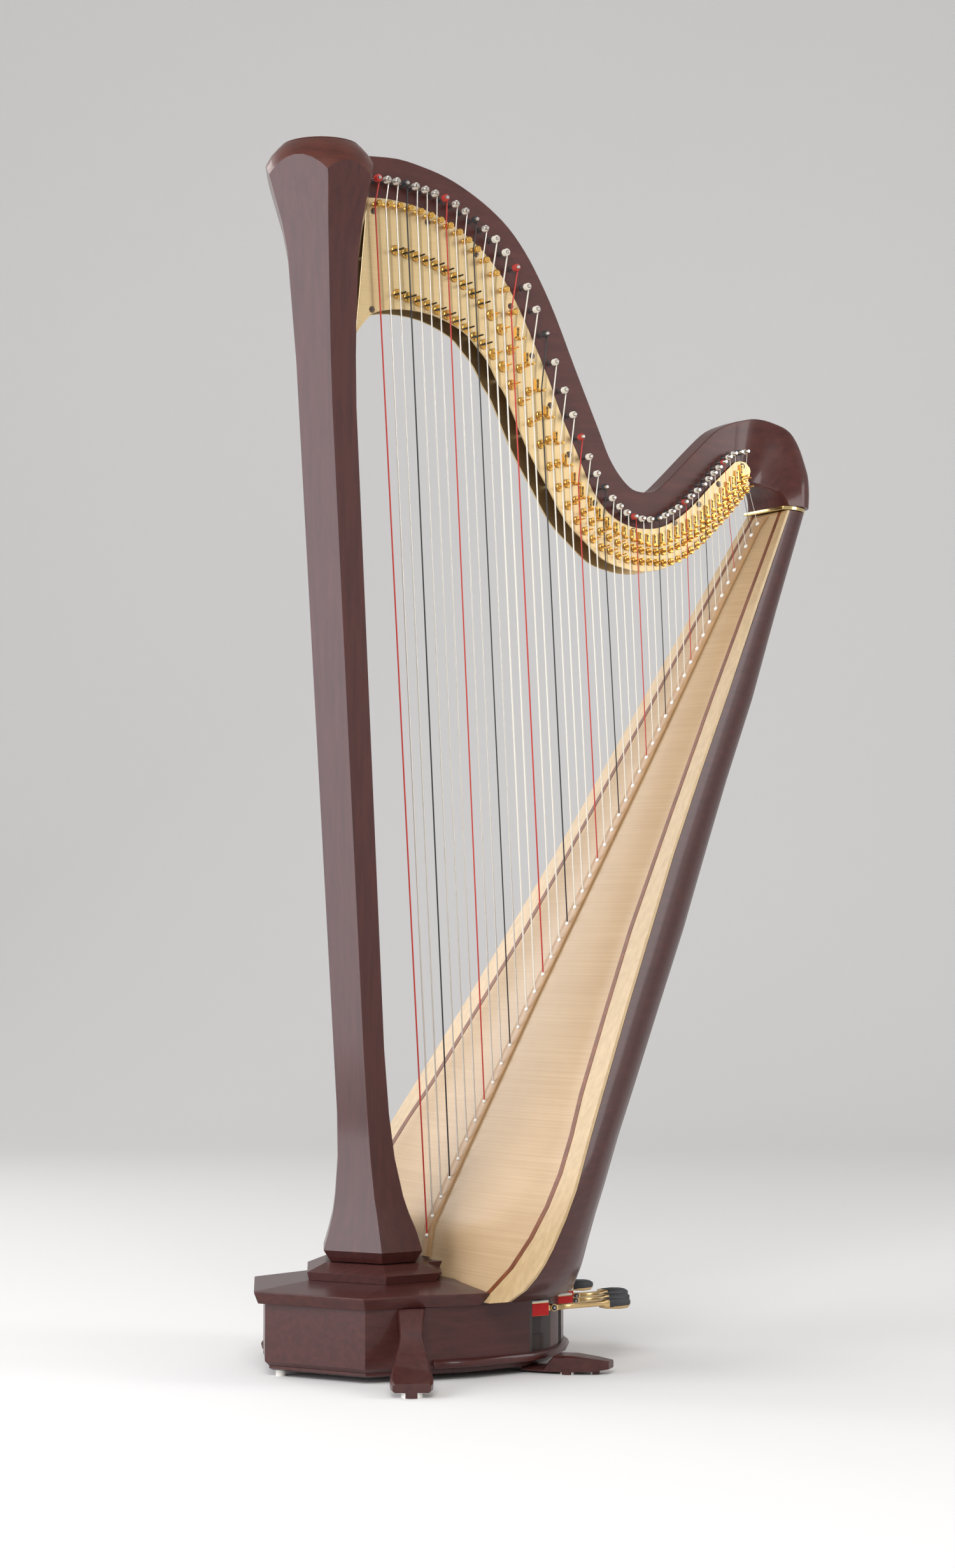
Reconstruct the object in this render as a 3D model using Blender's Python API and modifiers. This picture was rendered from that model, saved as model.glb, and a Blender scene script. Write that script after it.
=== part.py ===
"""Pedal harp with 47 strings: base, column, neck, action, soundbox, strings and seven pedals.

All points are in metres with x = 0 at the front tip of the base, y = 0 on the plane of the
strings and z = 0 on the ground. put() shifts x so that the origin is under the middle of the box.
"""

import math

import bmesh
import bpy
from mathutils import Matrix, Vector

ORIGIN_X = 0.5047
GAP = 0.0004
STRINGS = 47
OCTAVE = "CDEFGAB"

# Soundboard plane: x = BOARD_X + BOARD_SLOPE * z
BOARD_X = 0.2040
BOARD_SLOPE = 0.5612
BOARD_THICK = 0.0045
BOARD_HIGH = 1.3085
BOARD_WIDTH = ((0.1090, 0.2080), (0.115, 0.2496), (0.133, 0.274), (0.151, 0.285), (0.169, 0.2910),
               (0.19, 0.2935), (0.23, 0.2925), (0.27, 0.287), (0.3366, 0.2664), (0.40, 0.2485),
               (0.52, 0.216), (0.6373, 0.1866), (0.75, 0.158), (0.87, 0.134), (1.00, 0.111),
               (1.15, 0.082), (1.28, 0.0582), (1.3085, 0.053))
STRIPE_WIDTH = ((0.1105, 0.1815), (0.125, 0.197), (0.158, 0.222), (0.1994, 0.2366),
                (0.2435, 0.2415), (0.2895, 0.2376), (0.34, 0.224), (0.3977, 0.2027),
                (0.52, 0.170), (0.6373, 0.1406), (0.80, 0.112), (0.9937, 0.0797),
                (1.15, 0.057), (1.3080, 0.0346))
CROWN = ((0.109, 0.0), (0.151, 0.0), (0.169, 0.008), (0.190, 0.0165), (0.30, 0.018), (0.52, 0.0184),
         (0.90, 0.0112), (1.15, 0.0095), (1.28, 0.0062), (1.3085, 0.0))
SHELL_DEPTH = ((0.1090, 0.232), (0.115, 0.224), (0.133, 0.204), (0.158, 0.190), (0.19, 0.172),
               (0.23, 0.158), (0.27, 0.152), (0.3366, 0.151), (0.40, 0.153), (0.52, 0.151),
               (0.6373, 0.1464), (0.75, 0.136), (0.87, 0.1219), (1.00, 0.1094), (1.15, 0.085),
               (1.3085, 0.0617))
SHELL_WALL = 0.005

# Column sections: z, middle x, half depth to the arris, half width to the side face
COLUMN = ((0.1577, 0.1971, 0.0711, 0.0744), (0.1737, 0.1969, 0.0822, 0.0832),
          (0.1973, 0.1968, 0.0742, 0.0734), (0.2257, 0.1937, 0.0634, 0.0631),
          (0.25, 0.1908, 0.0569, 0.0562), (0.305, 0.1857, 0.0477, 0.0471),
          (0.3694, 0.1802, 0.0434, 0.0435), (0.4617, 0.1733, 0.0421, 0.0426),
          (0.6465, 0.1613, 0.0429, 0.0427), (1.0631, 0.1363, 0.0454, 0.0457),
          (1.3973, 0.1182, 0.0481, 0.0481), (1.4715, 0.1148, 0.0503, 0.0504),
          (1.5456, 0.1118, 0.0544, 0.0546), (1.625, 0.1096, 0.0598, 0.0598),
          (1.6669, 0.1080, 0.0675, 0.0670), (1.7219, 0.1050, 0.0825, 0.0825),
          (1.7443, 0.1035, 0.0885, 0.0870), (1.8200, 0.1000, 0.1050, 0.1000))
# Crown profiles from the top down: radius along x, z
DOME = ((0.0575, 1.7840), (0.0612, 1.7808), (0.0715, 1.7687), (0.0785, 1.7558), (0.0825, 1.7443),
        (0.0862, 1.7310), (0.0885, 1.7219), (0.1250, 1.7000), (0.2500, 1.6000), (0.2500, 0.1000))
CAP = ((0.0, 1.7890), (0.0450, 1.7880), (0.0560, 1.7862), (0.0570, 1.7845), (0.0, 1.7845))
DOME_X = 0.1040
DOME_STRETCH = 1.08
BORE_LOW = Vector((0.1972, 0, 0.1400))
BORE_HIGH = Vector((0.1075, 0, 1.7350))
BORE_RADIUS = 0.0155

# Base plans, near half from the front tip to the rear
WALL_PLAN = ((0.0187, 0), (0.097, -0.1471), (0.1955, -0.1685), (0.2566, -0.1816), (0.3525, -0.1796),
             (0.4042, -0.1568), (0.4480, -0.1205), (0.4785, -0.0830), (0.4975, -0.0420), (0.5035, 0))
LID_LOW = ((0.0073, 0), (0.094, -0.152), (0.1764, -0.164), (0.225, -0.183), (0.30, -0.196))
LID_EDGE = ((0.0004, 0), (0.0879, -0.158), (0.1764, -0.170), (0.225, -0.189), (0.30, -0.206))
PLINTH = ((0.1325, 0.1961, 0.1058, 0.1098), (0.1345, 0.1961, 0.1062, 0.1100),
          (0.1441, 0.1993, 0.1116, 0.1124), (0.1560, 0.1980, 0.0800, 0.0835))
WALL_THICK = 0.009

# Front leg: distance from the wall, half width, z, half thickness
LEG_START = Vector((0.1657, -0.1579, 0))
LEG_RUN = Vector((-0.5184, -0.8551, 0))
LEG_WIDE = Vector((0.8551, -0.5184, 0))
LEG = ((0.000, 0.0205, 0.1050, 0.0075), (0.011, 0.0190, 0.0940, 0.0085),
       (0.023, 0.0168, 0.0790, 0.0092), (0.033, 0.0160, 0.0650, 0.0095),
       (0.0435, 0.0190, 0.0500, 0.0095), (0.060, 0.0235, 0.0360, 0.0092),
       (0.088, 0.0275, 0.0240, 0.0085), (0.115, 0.0300, 0.0180, 0.0078),
       (0.132, 0.0290, 0.0150, 0.0072), (0.142, 0.0262, 0.0138, 0.0060))
LEG_REACH = {"near": 1.0, "far": 0.36}

# Neck and action lie beside the string plane
NECK_Y = 0.026
NECK_HALF = 0.019
PLATE_HALF = 0.0225
PLATE_THICK = 0.0030
NECK_TOP = ((0.100, 1.775), (0.1912, 1.7877), (0.2422, 1.7907), (0.2862, 1.7849), (0.3279, 1.7752),
            (0.3674, 1.7595), (0.4072, 1.7380), (0.4421, 1.7121), (0.4719, 1.6796),
            (0.4991, 1.6398), (0.5291, 1.5863), (0.5663, 1.5073), (0.6107, 1.4159),
            (0.6305, 1.3747), (0.6505, 1.3479), (0.6702, 1.3309), (0.6856, 1.3255),
            (0.7079, 1.3254), (0.7239, 1.3312), (0.7495, 1.3526), (0.8145, 1.4132),
            (0.8473, 1.4398), (0.8804, 1.4539), (0.8900, 1.4565))
PLATE_TOP = ((0.120, 1.717), (0.1880, 1.7239), (0.2224, 1.7264), (0.2685, 1.7228), (0.3100, 1.7128),
             (0.3520, 1.6950), (0.3890, 1.6717), (0.4156, 1.6469), (0.4397, 1.6183),
             (0.4694, 1.5697), (0.5125, 1.4869), (0.5345, 1.4366), (0.5637, 1.3806),
             (0.5907, 1.3281), (0.6105, 1.3012), (0.6353, 1.2807), (0.6640, 1.2694),
             (0.6955, 1.2665), (0.7274, 1.2716), (0.7595, 1.2870), (0.7919, 1.3116),
             (0.8278, 1.3458), (0.8641, 1.3777))
PLATE_END = ((0.8760, 1.3880), (0.8874, 1.3911), (0.8990, 1.3890), (0.9070, 1.3810), (0.9104, 1.3685),
             (0.9054, 1.3523))
PLATE_LOW = ((0.8969, 1.3385), (0.8603, 1.3013), (0.8208, 1.2643), (0.7786, 1.2301),
             (0.7336, 1.2062), (0.6922, 1.1984), (0.6513, 1.2020), (0.6139, 1.2134),
             (0.5769, 1.2413), (0.5439, 1.2697), (0.5099, 1.3192), (0.4713, 1.3782),
             (0.4355, 1.4489), (0.4189, 1.4712), (0.4022, 1.4994), (0.3811, 1.5210),
             (0.3569, 1.5416), (0.3046, 1.5599), (0.2484, 1.5630), (0.2049, 1.5541),
             (0.1863, 1.5405), (0.1689, 1.5185), (0.120, 1.500))
NECK_BELOW_PLATE_TOP = 0.027
SPACERS = ((0.200, 1.640), (0.268, 1.585), (0.345, 1.590), (0.395, 1.545), (0.4430, 1.4820),
           (0.4870, 1.4000), (0.5360, 1.3250), (0.5980, 1.2600), (0.6900, 1.2270), (0.7780, 1.2640),
           (0.8560, 1.3320))

# Shoulder sections: inner x, z, outer x, z, middle y, half width, roundness
SHOULDER = ((0.868, 1.350, 0.8700, 1.4500, 0.026, 0.0190, 0.0),
            (0.893, 1.356, 0.9222, 1.4629, 0.026, 0.0190, 0.2),
            (0.910, 1.354, 0.9558, 1.4594, 0.022, 0.0240, 0.4),
            (0.922, 1.349, 0.9830, 1.4470, 0.014, 0.0320, 0.6),
            (0.930, 1.342, 1.0000, 1.4180, 0.007, 0.0410, 0.8),
            (0.9345, 1.333, 1.0080, 1.3860, 0.002, 0.0475, 1.0),
            (0.9370, 1.324, 1.0090, 1.3500, 0.0, 0.0510, 1.0),
            (0.9385, 1.3160, 1.0050, 1.3160, 0.0, 0.0530, 1.0))

# Points along the rows, as string number, x, z
FOOT_ROW = ((1, 0.2858, 0.1853), (5, 0.3457, 0.2954), (12, 0.4552, 0.4890), (19, 0.5578, 0.6709),
            (27, 0.6695, 0.8607), (35, 0.7703, 1.0380), (43, 0.8725, 1.2129), (47, 0.9181, 1.2907))
PIN_ROW = ((1, 0.1975, 1.7515), (4, 0.2465, 1.7503), (7, 0.2981, 1.7425), (9, 0.3349, 1.7315),
           (11, 0.3702, 1.7123), (13, 0.4069, 1.6871), (15, 0.4448, 1.6480), (16, 0.4650, 1.6210),
           (18, 0.4988, 1.5517), (20, 0.5346, 1.4683), (22, 0.5656, 1.3983), (24, 0.5956, 1.3437),
           (26, 0.6251, 1.3080), (28, 0.6528, 1.2874), (30, 0.6822, 1.2802), (32, 0.7134, 1.2831),
           (35, 0.7530, 1.3038), (39, 0.8023, 1.3440), (43, 0.8439, 1.3836), (45, 0.8647, 1.3991),
           (47, 0.8891, 1.4043))
NUT_ROW = ((1, 0.2042, 1.7142), (3, 0.2410, 1.7161), (6, 0.2953, 1.7084), (9, 0.3460, 1.6898),
           (12, 0.3948, 1.6533), (14, 0.4307, 1.6124), (15, 0.4470, 1.5796), (16, 0.4492, 1.5494),
           (18, 0.4857, 1.4729), (20, 0.5206, 1.3948), (22, 0.5547, 1.3342), (24, 0.5853, 1.2983),
           (26, 0.6190, 1.2700), (29, 0.6664, 1.2543), (32, 0.7091, 1.2490), (35, 0.7515, 1.2657),
           (39, 0.8008, 1.2941), (43, 0.8453, 1.3351), (47, 0.8830, 1.3744))
SHARP_ROW = ((26, 0.6240, 1.2270), (28, 0.6547, 1.2157), (31, 0.6980, 1.2149), (34, 0.7409, 1.2180),
             (37, 0.7795, 1.2389), (41, 0.8285, 1.2812), (47, 0.8920, 1.3468))
STRING_Y = -0.0040
PIN_NEAR = -0.0165
PIN_FAR = 0.0600
PIN_RADIUS = 0.0030
BRIDGES = 15
# Radius of the discs, as string number, radius
DISC_RADIUS = ((3, 0.0078), (12, 0.0078), (13, 0.0088), (14, 0.0088), (16, 0.0072), (21, 0.0070),
               (28, 0.0060), (47, 0.0056))
SLEEVED = 12
BRIDGE_RADIUS = 0.0029
NUT_BAR_RADIUS = 0.0017
MOVING_FROM = 15
MOVING_TO = 21

# Pedals: name, y, y at the rack, fold x, tip x
RACK = Vector((0.120, 0, 0.055))
PEDALS = (("D", -0.172, -0.105, 0.3977, 0.5307), ("C", -0.125, -0.070, 0.4681, 0.5634),
          ("B", -0.080, -0.035, 0.5010, 0.5930), ("E", 0.032, 0.000, 0.5140, 0.6080),
          ("F", 0.080, 0.035, 0.5010, 0.5930), ("G", 0.128, 0.070, 0.4661, 0.5634),
          ("A", 0.172, 0.105, 0.3977, 0.5307))
PEDAL_Z = 0.0905
LEVER_HALF = 0.0030
FELT_HALF = 0.0042
SLOT_HIGH = 0.00475
SLOT_LOW = (-0.0050, 0.0075)


# Colour, roughness and metallic of each finish, and the first letters of the parts that have it
FINISHES = {"wood": ((0.090, 0.024, 0.016, 1), 0.25, 0.0), "spruce": ((0.60, 0.36, 0.16, 1), 0.40, 0.0),
            "red": ((0.25, 0.02, 0.02, 1), 0.40, 0.0), "brass": ((0.80, 0.55, 0.22, 1), 0.25, 1.0),
            "steel": ((0.60, 0.60, 0.58, 1), 0.30, 1.0), "gut": ((0.75, 0.70, 0.60, 1), 0.45, 0.0)}
FINISH_OF = (("action_plate", "brass"), ("disc_", "brass"), ("shoulder_band", "brass"),
             ("pedal_rack", "steel"), ("pedal_rod", "steel"), ("pedal_", "brass"),
             ("soundboard", "spruce"), ("inlay", "red"), ("strings", "gut"))
ROUND = ("crown_cap", "disc_", "pedal_rod", "pedal_rack", "soundbox_shell", "soundboard",
         "base_bead", "strings", "front_leg")
SHARP = math.radians(35)


def clear_scene():
    for thing in list(bpy.data.objects):
        bpy.data.objects.remove(thing)


def new_collection(name):
    made = bpy.data.collections.new(name)
    bpy.context.scene.collection.children.link(made)
    return made


def finish(name):
    """A material of its own for a part."""
    kind = next((kind for start, kind in FINISH_OF if name.startswith(start)), "wood")
    colour, roughness, metallic = FINISHES[kind]
    made = bpy.data.materials.new(name)
    made.use_nodes = True
    shader = made.node_tree.nodes["Principled BSDF"]
    shader.inputs["Base Color"].default_value = colour
    shader.inputs["Roughness"].default_value = roughness
    shader.inputs["Metallic"].default_value = metallic
    made.diffuse_color = colour
    return made


def place(name, data, helper, origin):
    """Link an object of the mesh data, either as a part or as a hidden helper."""
    made = bpy.data.objects.new(name, data)
    made.location = Vector(origin) - Vector((ORIGIN_X, 0, 0))
    if helper:
        HELPERS.objects.link(made)
        made.hide_render = True
        made.display_type = "WIRE"
        return made
    HARP.objects.link(made)
    data.materials.append(finish(name))
    if name.startswith(ROUND):
        data.shade_smooth()
        data.set_sharp_from_angle(angle=SHARP)
    return made


def put(name, mesh, helper=False, origin=(0, 0, 0)):
    """Make an object of a bmesh, with its origin at the given point."""
    bmesh.ops.translate(mesh, verts=mesh.verts, vec=-Vector(origin))
    bmesh.ops.recalc_face_normals(mesh, faces=mesh.faces)
    data = bpy.data.meshes.new(name)
    mesh.to_mesh(data)
    mesh.free()
    return place(name, data, helper, origin)


def turned(name, profile, helper=False, sides=36):
    """Turn a profile of (radius, z), given from the top down, round the middle of the crown."""
    mesh = bmesh.new()
    verts = [mesh.verts.new((radius, 0, z)) for radius, z in profile]
    for high, low in zip(verts, verts[1:]):
        mesh.edges.new((high, low))
    data = bpy.data.meshes.new(name)
    mesh.to_mesh(data)
    mesh.free()
    made = place(name, data, helper, (DOME_X, 0, 0))
    made.scale = (1, DOME_STRETCH, 1)
    screw = made.modifiers.new("screw", "SCREW")
    screw.steps = sides
    screw.render_steps = sides
    screw.use_merge_vertices = True
    screw.merge_threshold = 0.00001
    return made


def combine(target, other, operation):
    modifier = target.modifiers.new(operation.lower(), "BOOLEAN")
    modifier.operation = operation
    modifier.object = other
    modifier.solver = "EXACT"
    modifier.use_self = True


def loft(mesh, rings):
    """Skin equal rings of points and close both ends."""
    rows = [[mesh.verts.new(point) for point in ring] for ring in rings]
    count = len(rows[0])
    for low, high in zip(rows, rows[1:]):
        for i in range(count):
            j = (i + 1) % count
            mesh.faces.new((low[i], low[j], high[j], high[i]))
    mesh.faces.new(rows[0][::-1])
    mesh.faces.new(rows[-1])


def rod(mesh, start, end, radius, sides=8, end_radius=None):
    """A closed cylinder or cone between two points."""
    start = Vector(start)
    end = Vector(end)
    axis = end - start
    turn = axis.to_track_quat("Z", "Y").to_matrix().to_4x4()
    bmesh.ops.create_cone(mesh, cap_ends=True, segments=sides, radius1=radius,
                          radius2=end_radius or radius, depth=axis.length,
                          matrix=Matrix.Translation((start + end) / 2) @ turn)


def box(mesh, low, high):
    low = Vector(low)
    high = Vector(high)
    size = Matrix.Diagonal((*(high - low), 1))
    bmesh.ops.create_cube(mesh, size=1, matrix=Matrix.Translation((low + high) / 2) @ size)


def flat(mesh, outline, thickness, matrix):
    """Add a filled flat outline with a thickness, drawn as a 2D curve."""
    curve = bpy.data.curves.new("outline", "CURVE")
    curve.dimensions = "2D"
    curve.fill_mode = "BOTH"
    curve.extrude = thickness / 2
    spline = curve.splines.new("POLY")
    spline.points.add(len(outline) - 1)
    for point, (a, b) in zip(spline.points, outline):
        point.co = (a, b, 0, 1)
    spline.use_cyclic_u = True
    drawing = bpy.data.objects.new("outline", curve)
    HELPERS.objects.link(drawing)
    drawing.matrix_world = matrix
    data = bpy.data.meshes.new_from_object(drawing)
    data.transform(matrix)
    bpy.data.objects.remove(drawing)
    mesh.from_mesh(data)
    bmesh.ops.remove_doubles(mesh, verts=mesh.verts, dist=0.000001)
    bmesh.ops.dissolve_limit(mesh, angle_limit=math.radians(0.01), verts=mesh.verts, edges=mesh.edges)


def slab_xz(mesh, outline, y0, y1):
    """A prism along y from an outline in x and z."""
    upright = Matrix.Rotation(math.radians(90), 4, "X")
    flat(mesh, outline, y1 - y0, Matrix.Translation((0, (y0 + y1) / 2, 0)) @ upright)


def slab_xy(mesh, plan, z0, z1):
    flat(mesh, plan, z1 - z0, Matrix.Translation((0, 0, (z0 + z1) / 2)))


def both_sides(plan):
    """Close a near half plan with its mirror image."""
    inner = [point for point in reversed(plan) if abs(point[1]) > 1e-6]
    return list(plan) + [(x, -y) for x, y in inner]


def inset(plan, distance):
    """Move each side of a convex plan inwards."""
    area = sum(a[0] * b[1] - b[0] * a[1] for a, b in zip(plan, plan[1:] + plan[:1]))
    turn = 1 if area > 0 else -1
    lines = []
    for a, b in zip(plan, plan[1:] + plan[:1]):
        along = Vector((b[0] - a[0], b[1] - a[1])).normalized()
        normal = Vector((-along.y, along.x)) * turn
        lines.append((Vector(a) + normal * distance, along))
    points = []
    for (p, d), (q, e) in zip(lines[-1:] + lines[:-1], lines):
        cross = d.x * e.y - d.y * e.x
        if abs(cross) < 1e-6:
            points.append((q.x, q.y))
            continue
        gap = q - p
        t = (gap.x * e.y - gap.y * e.x) / cross
        points.append((p.x + d.x * t, p.y + d.y * t))
    return points


def hexagon(z, middle, depth, width, grow=0.0):
    depth += grow * 1.1547
    width += grow
    back = depth - 0.5774 * width
    return [(middle - depth, 0, z), (middle - back, -width, z), (middle + back, -width, z),
            (middle + depth, 0, z), (middle + back, width, z), (middle - back, width, z)]


def between(table, z):
    """Straight interpolation in a table of (z, value)."""
    for (z0, v0), (z1, v1) in zip(table, table[1:]):
        if z <= z1:
            return v0 + (v1 - v0) * max(0.0, z - z0) / (z1 - z0)
    return table[-1][1]


def along_row(row, number):
    """A smooth x and z for a string number between the given points."""
    last = len(row) - 1
    i = 0
    while i < last - 1 and number > row[i + 1][0]:
        i += 1
    n1, x1, z1 = row[i]
    n2, x2, z2 = row[i + 1]
    n0, x0, z0 = row[i - 1] if i else (2 * n1 - n2, 2 * x1 - x2, 2 * z1 - z2)
    n3, x3, z3 = row[i + 2] if i + 1 < last else (2 * n2 - n1, 2 * x2 - x1, 2 * z2 - z1)
    span = n2 - n1
    t = (number - n1) / span
    result = []
    for v0, v1, v2, v3 in ((x0, x1, x2, x3), (z0, z1, z2, z3)):
        m1 = (v2 - v0) / (n2 - n0) * span
        m2 = (v3 - v1) / (n3 - n1) * span
        result.append(v1 + t * (m1 + t * (3 * (v2 - v1) - 2 * m1 - m2
                                          + t * (2 * (v1 - v2) + m1 + m2))))
    return result


def board_x(z):
    return BOARD_X + BOARD_SLOPE * z


BOARD_NORMAL = Vector((-1, 0, BOARD_SLOPE)).normalized()


def board_point(z, y, lift):
    """A point over the edge plane of the soundboard at height z, lifted square to it."""
    return Vector((board_x(z), y, z)) + BOARD_NORMAL * lift


def crown_at(z, y):
    share = abs(y) / (between(STRIPE_WIDTH, z) - 0.006)
    return between(CROWN, z) * max(0.0, 1 - share * share)


def slot_start(y, fold):
    return fold - (0.068 if abs(y) > 0.15 else 0.070)


def make_base():
    plan = both_sides(WALL_PLAN)
    mesh = bmesh.new()
    chamfer = inset(plan, 0.006)
    loft(mesh, [[(x, y, z) for x, y in ring] for ring, z in
                ((chamfer, 0.0162), (plan, 0.0222), (plan, 0.1040))])
    wall = put("base_wall", mesh)
    mesh = bmesh.new()
    slab_xy(mesh, inset(plan, WALL_THICK), 0.010, 0.110)
    combine(wall, put("wall_room", mesh, True), "DIFFERENCE")
    high = bmesh.new()
    low = bmesh.new()
    for _, y, _, fold, _ in PEDALS:
        start = slot_start(y, fold)
        box(high, (start, y - SLOT_HIGH, 0.0500), (fold + 0.012, y + SLOT_HIGH, 0.1060))
        near, far = SLOT_LOW if y < 0 else (-SLOT_LOW[1], -SLOT_LOW[0])
        box(low, (start, y + near, 0.0255), (fold + 0.012, y + far, 0.0540))
    combine(wall, put("pedal_slots_high", high, True), "DIFFERENCE")
    combine(wall, put("pedal_slots_low", low, True), "DIFFERENCE")

    mesh = bmesh.new()
    floor = inset(plan, 0.0064)
    loft(mesh, [[(x, y, z) for x, y in ring] for ring, z in
                ((inset(plan, 0.012), 0.0090), (floor, 0.0120), (floor, 0.0158))])
    base_floor = put("base_floor", mesh)
    mesh = bmesh.new()
    rod(mesh, (0.045, 0, 0), (0.045, 0, 0.011), 0.0075, 12)
    combine(base_floor, put("front_glide", mesh, True), "UNION")

    mesh = bmesh.new()
    front_edge = board_x(0.1064) + 0.0010
    rear = [point for point in inset(plan, -0.0035) if point[0] > front_edge + 0.02]
    near = min(rear, key=lambda point: point[1])
    ring = [(front_edge, near[1])] + sorted_rear(rear) + [(front_edge, -near[1])]
    slab_xy(mesh, ring, 0.1044, 0.1085)
    put("base_top", mesh)
    make_lid()
    make_bead(plan)


def sorted_rear(points):
    """Order rear plan points from the near side round to the far side."""
    return sorted(points, key=lambda point: math.atan2(point[1], point[0] - 0.30))


def make_lid():
    mesh = bmesh.new()
    rings = []
    for plan, z in ((LID_LOW, 0.1044), (LID_EDGE, 0.1200), (LID_EDGE, 0.1222)):
        ring = [(x, y, z) for x, y in plan] + [(x, -y, z) for x, y in plan[:0:-1]]
        rings.append(ring)
    depth, width = PLINTH[0][2] + GAP, PLINTH[0][3] + GAP
    middle = PLINTH[0][1]
    back = depth - 0.5774 * width
    top = ((middle - depth, 0), (middle - back, -width), (middle + 0.2 * back, -width),
           (middle + back, -width), (0.30, -0.0880))
    rings.append([(x, y, 0.1322) for x, y in top] + [(x, -y, 0.1322) for x, y in top[:0:-1]])
    loft(mesh, rings)
    lid = put("base_lid", mesh)
    mesh = bmesh.new()
    ring = [(board_x(0.09) - 0.0006, 0.09), (0.45, 0.09), (0.45, 0.20),
            (board_x(0.20) - 0.0006, 0.20)]
    slab_xz(mesh, ring, -0.3, 0.3)
    combine(lid, put("board_side", mesh, True), "DIFFERENCE")


def make_bead(plan):
    """A half-round bead round the rear of the base, from leg to leg."""
    path = [point for point in inset(plan, -0.0004) if point[0] > 0.16]
    path = sorted_rear(path)
    mesh = bmesh.new()
    rings = []
    for i, (x, y) in enumerate(path):
        before = Vector(path[max(i - 1, 0)])
        after = Vector(path[min(i + 1, len(path) - 1)])
        along = (after - before).normalized()
        out = Vector((along.y, -along.x))
        ring = []
        for push, z in ((0, 0.0175), (0.0060, 0.0190), (0.0080, 0.0240), (0.0060, 0.0290),
                        (0, 0.0305)):
            ring.append((x + out.x * push, y + out.y * push, z))
        rings.append(ring)
    loft(mesh, rings)
    put("base_bead", mesh)


def leg_centre(section, reach):
    distance, _, z, _ = section
    return LEG_START + LEG_RUN * distance * reach + Vector((0, 0, z))


def make_legs():
    for side, sign in (("near", 1), ("far", -1)):
        reach = LEG_REACH[side]
        mesh = bmesh.new()
        rings = []
        for i, section in enumerate(LEG):
            _, half, _, thick = section
            before = leg_centre(LEG[max(i - 1, 0)], reach)
            after = leg_centre(LEG[min(i + 1, len(LEG) - 1)], reach)
            normal = LEG_WIDE.cross(after - before).normalized()
            centre = leg_centre(section, reach)
            ring = []
            for a, b in ((-1, -0.6), (-0.88, -1), (0.88, -1), (1, -0.6), (1, 0.6), (0.88, 1),
                         (-0.88, 1), (-1, 0.6)):
                point = centre + LEG_WIDE * half * a + normal * thick * b
                ring.append((point.x, sign * point.y, point.z))
            rings.append(ring)
        loft(mesh, rings)
        leg = put("front_leg_" + side, mesh)
        foot = LEG_START + LEG_RUN * 0.128 * reach
        mesh = bmesh.new()
        rod(mesh, (foot.x, sign * foot.y, 0), (foot.x, sign * foot.y, 0.0130), 0.0150, 16)
        combine(leg, put("leg_glide_" + side, mesh, True), "UNION")
        mesh = bmesh.new()
        slab_xy(mesh, inset(both_sides(WALL_PLAN), -0.0005), 0.010, 0.1250)
        combine(leg, put("leg_clear_" + side, mesh, True), "DIFFERENCE")
        mesh = bmesh.new()
        box(mesh, (0.05, -0.25, 0.1040), (0.25, 0.25, 0.15))
        combine(leg, put("leg_top_clear_" + side, mesh, True), "DIFFERENCE")

        mesh = bmesh.new()
        rings = []
        for x, y, half, low, high in ((0.365, -0.150, 0.0200, 0.0030, 0.0084),
                                      (0.385, -0.178, 0.0215, 0.0030, 0.0084),
                                      (0.394, -0.190, 0.0220, 0.0035, 0.0260),
                                      (0.409, -0.211, 0.0205, 0.0040, 0.0270),
                                      (0.432, -0.233, 0.0165, 0.0050, 0.0230),
                                      (0.449, -0.2455, 0.0120, 0.0080, 0.0190)):
            wide = Vector((0.79, 0.61))
            ring = []
            for a, z in ((-1, low), (1, low), (1, high - 0.003), (0.85, high), (-0.85, high),
                         (-1, high - 0.003)):
                ring.append((x + wide.x * half * a, sign * (y + wide.y * half * a), z))
            rings.append(ring)
        loft(mesh, rings)
        foot = put("rear_foot_" + side, mesh)
        mesh = bmesh.new()
        rod(mesh, (0.395, sign * -0.213, 0), (0.395, sign * -0.213, 0.008), 0.0100, 12)
        rod(mesh, (0.429, sign * -0.234, 0), (0.429, sign * -0.234, 0.008), 0.0070, 10)
        combine(foot, put("foot_glides_" + side, mesh, True), "UNION")


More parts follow.
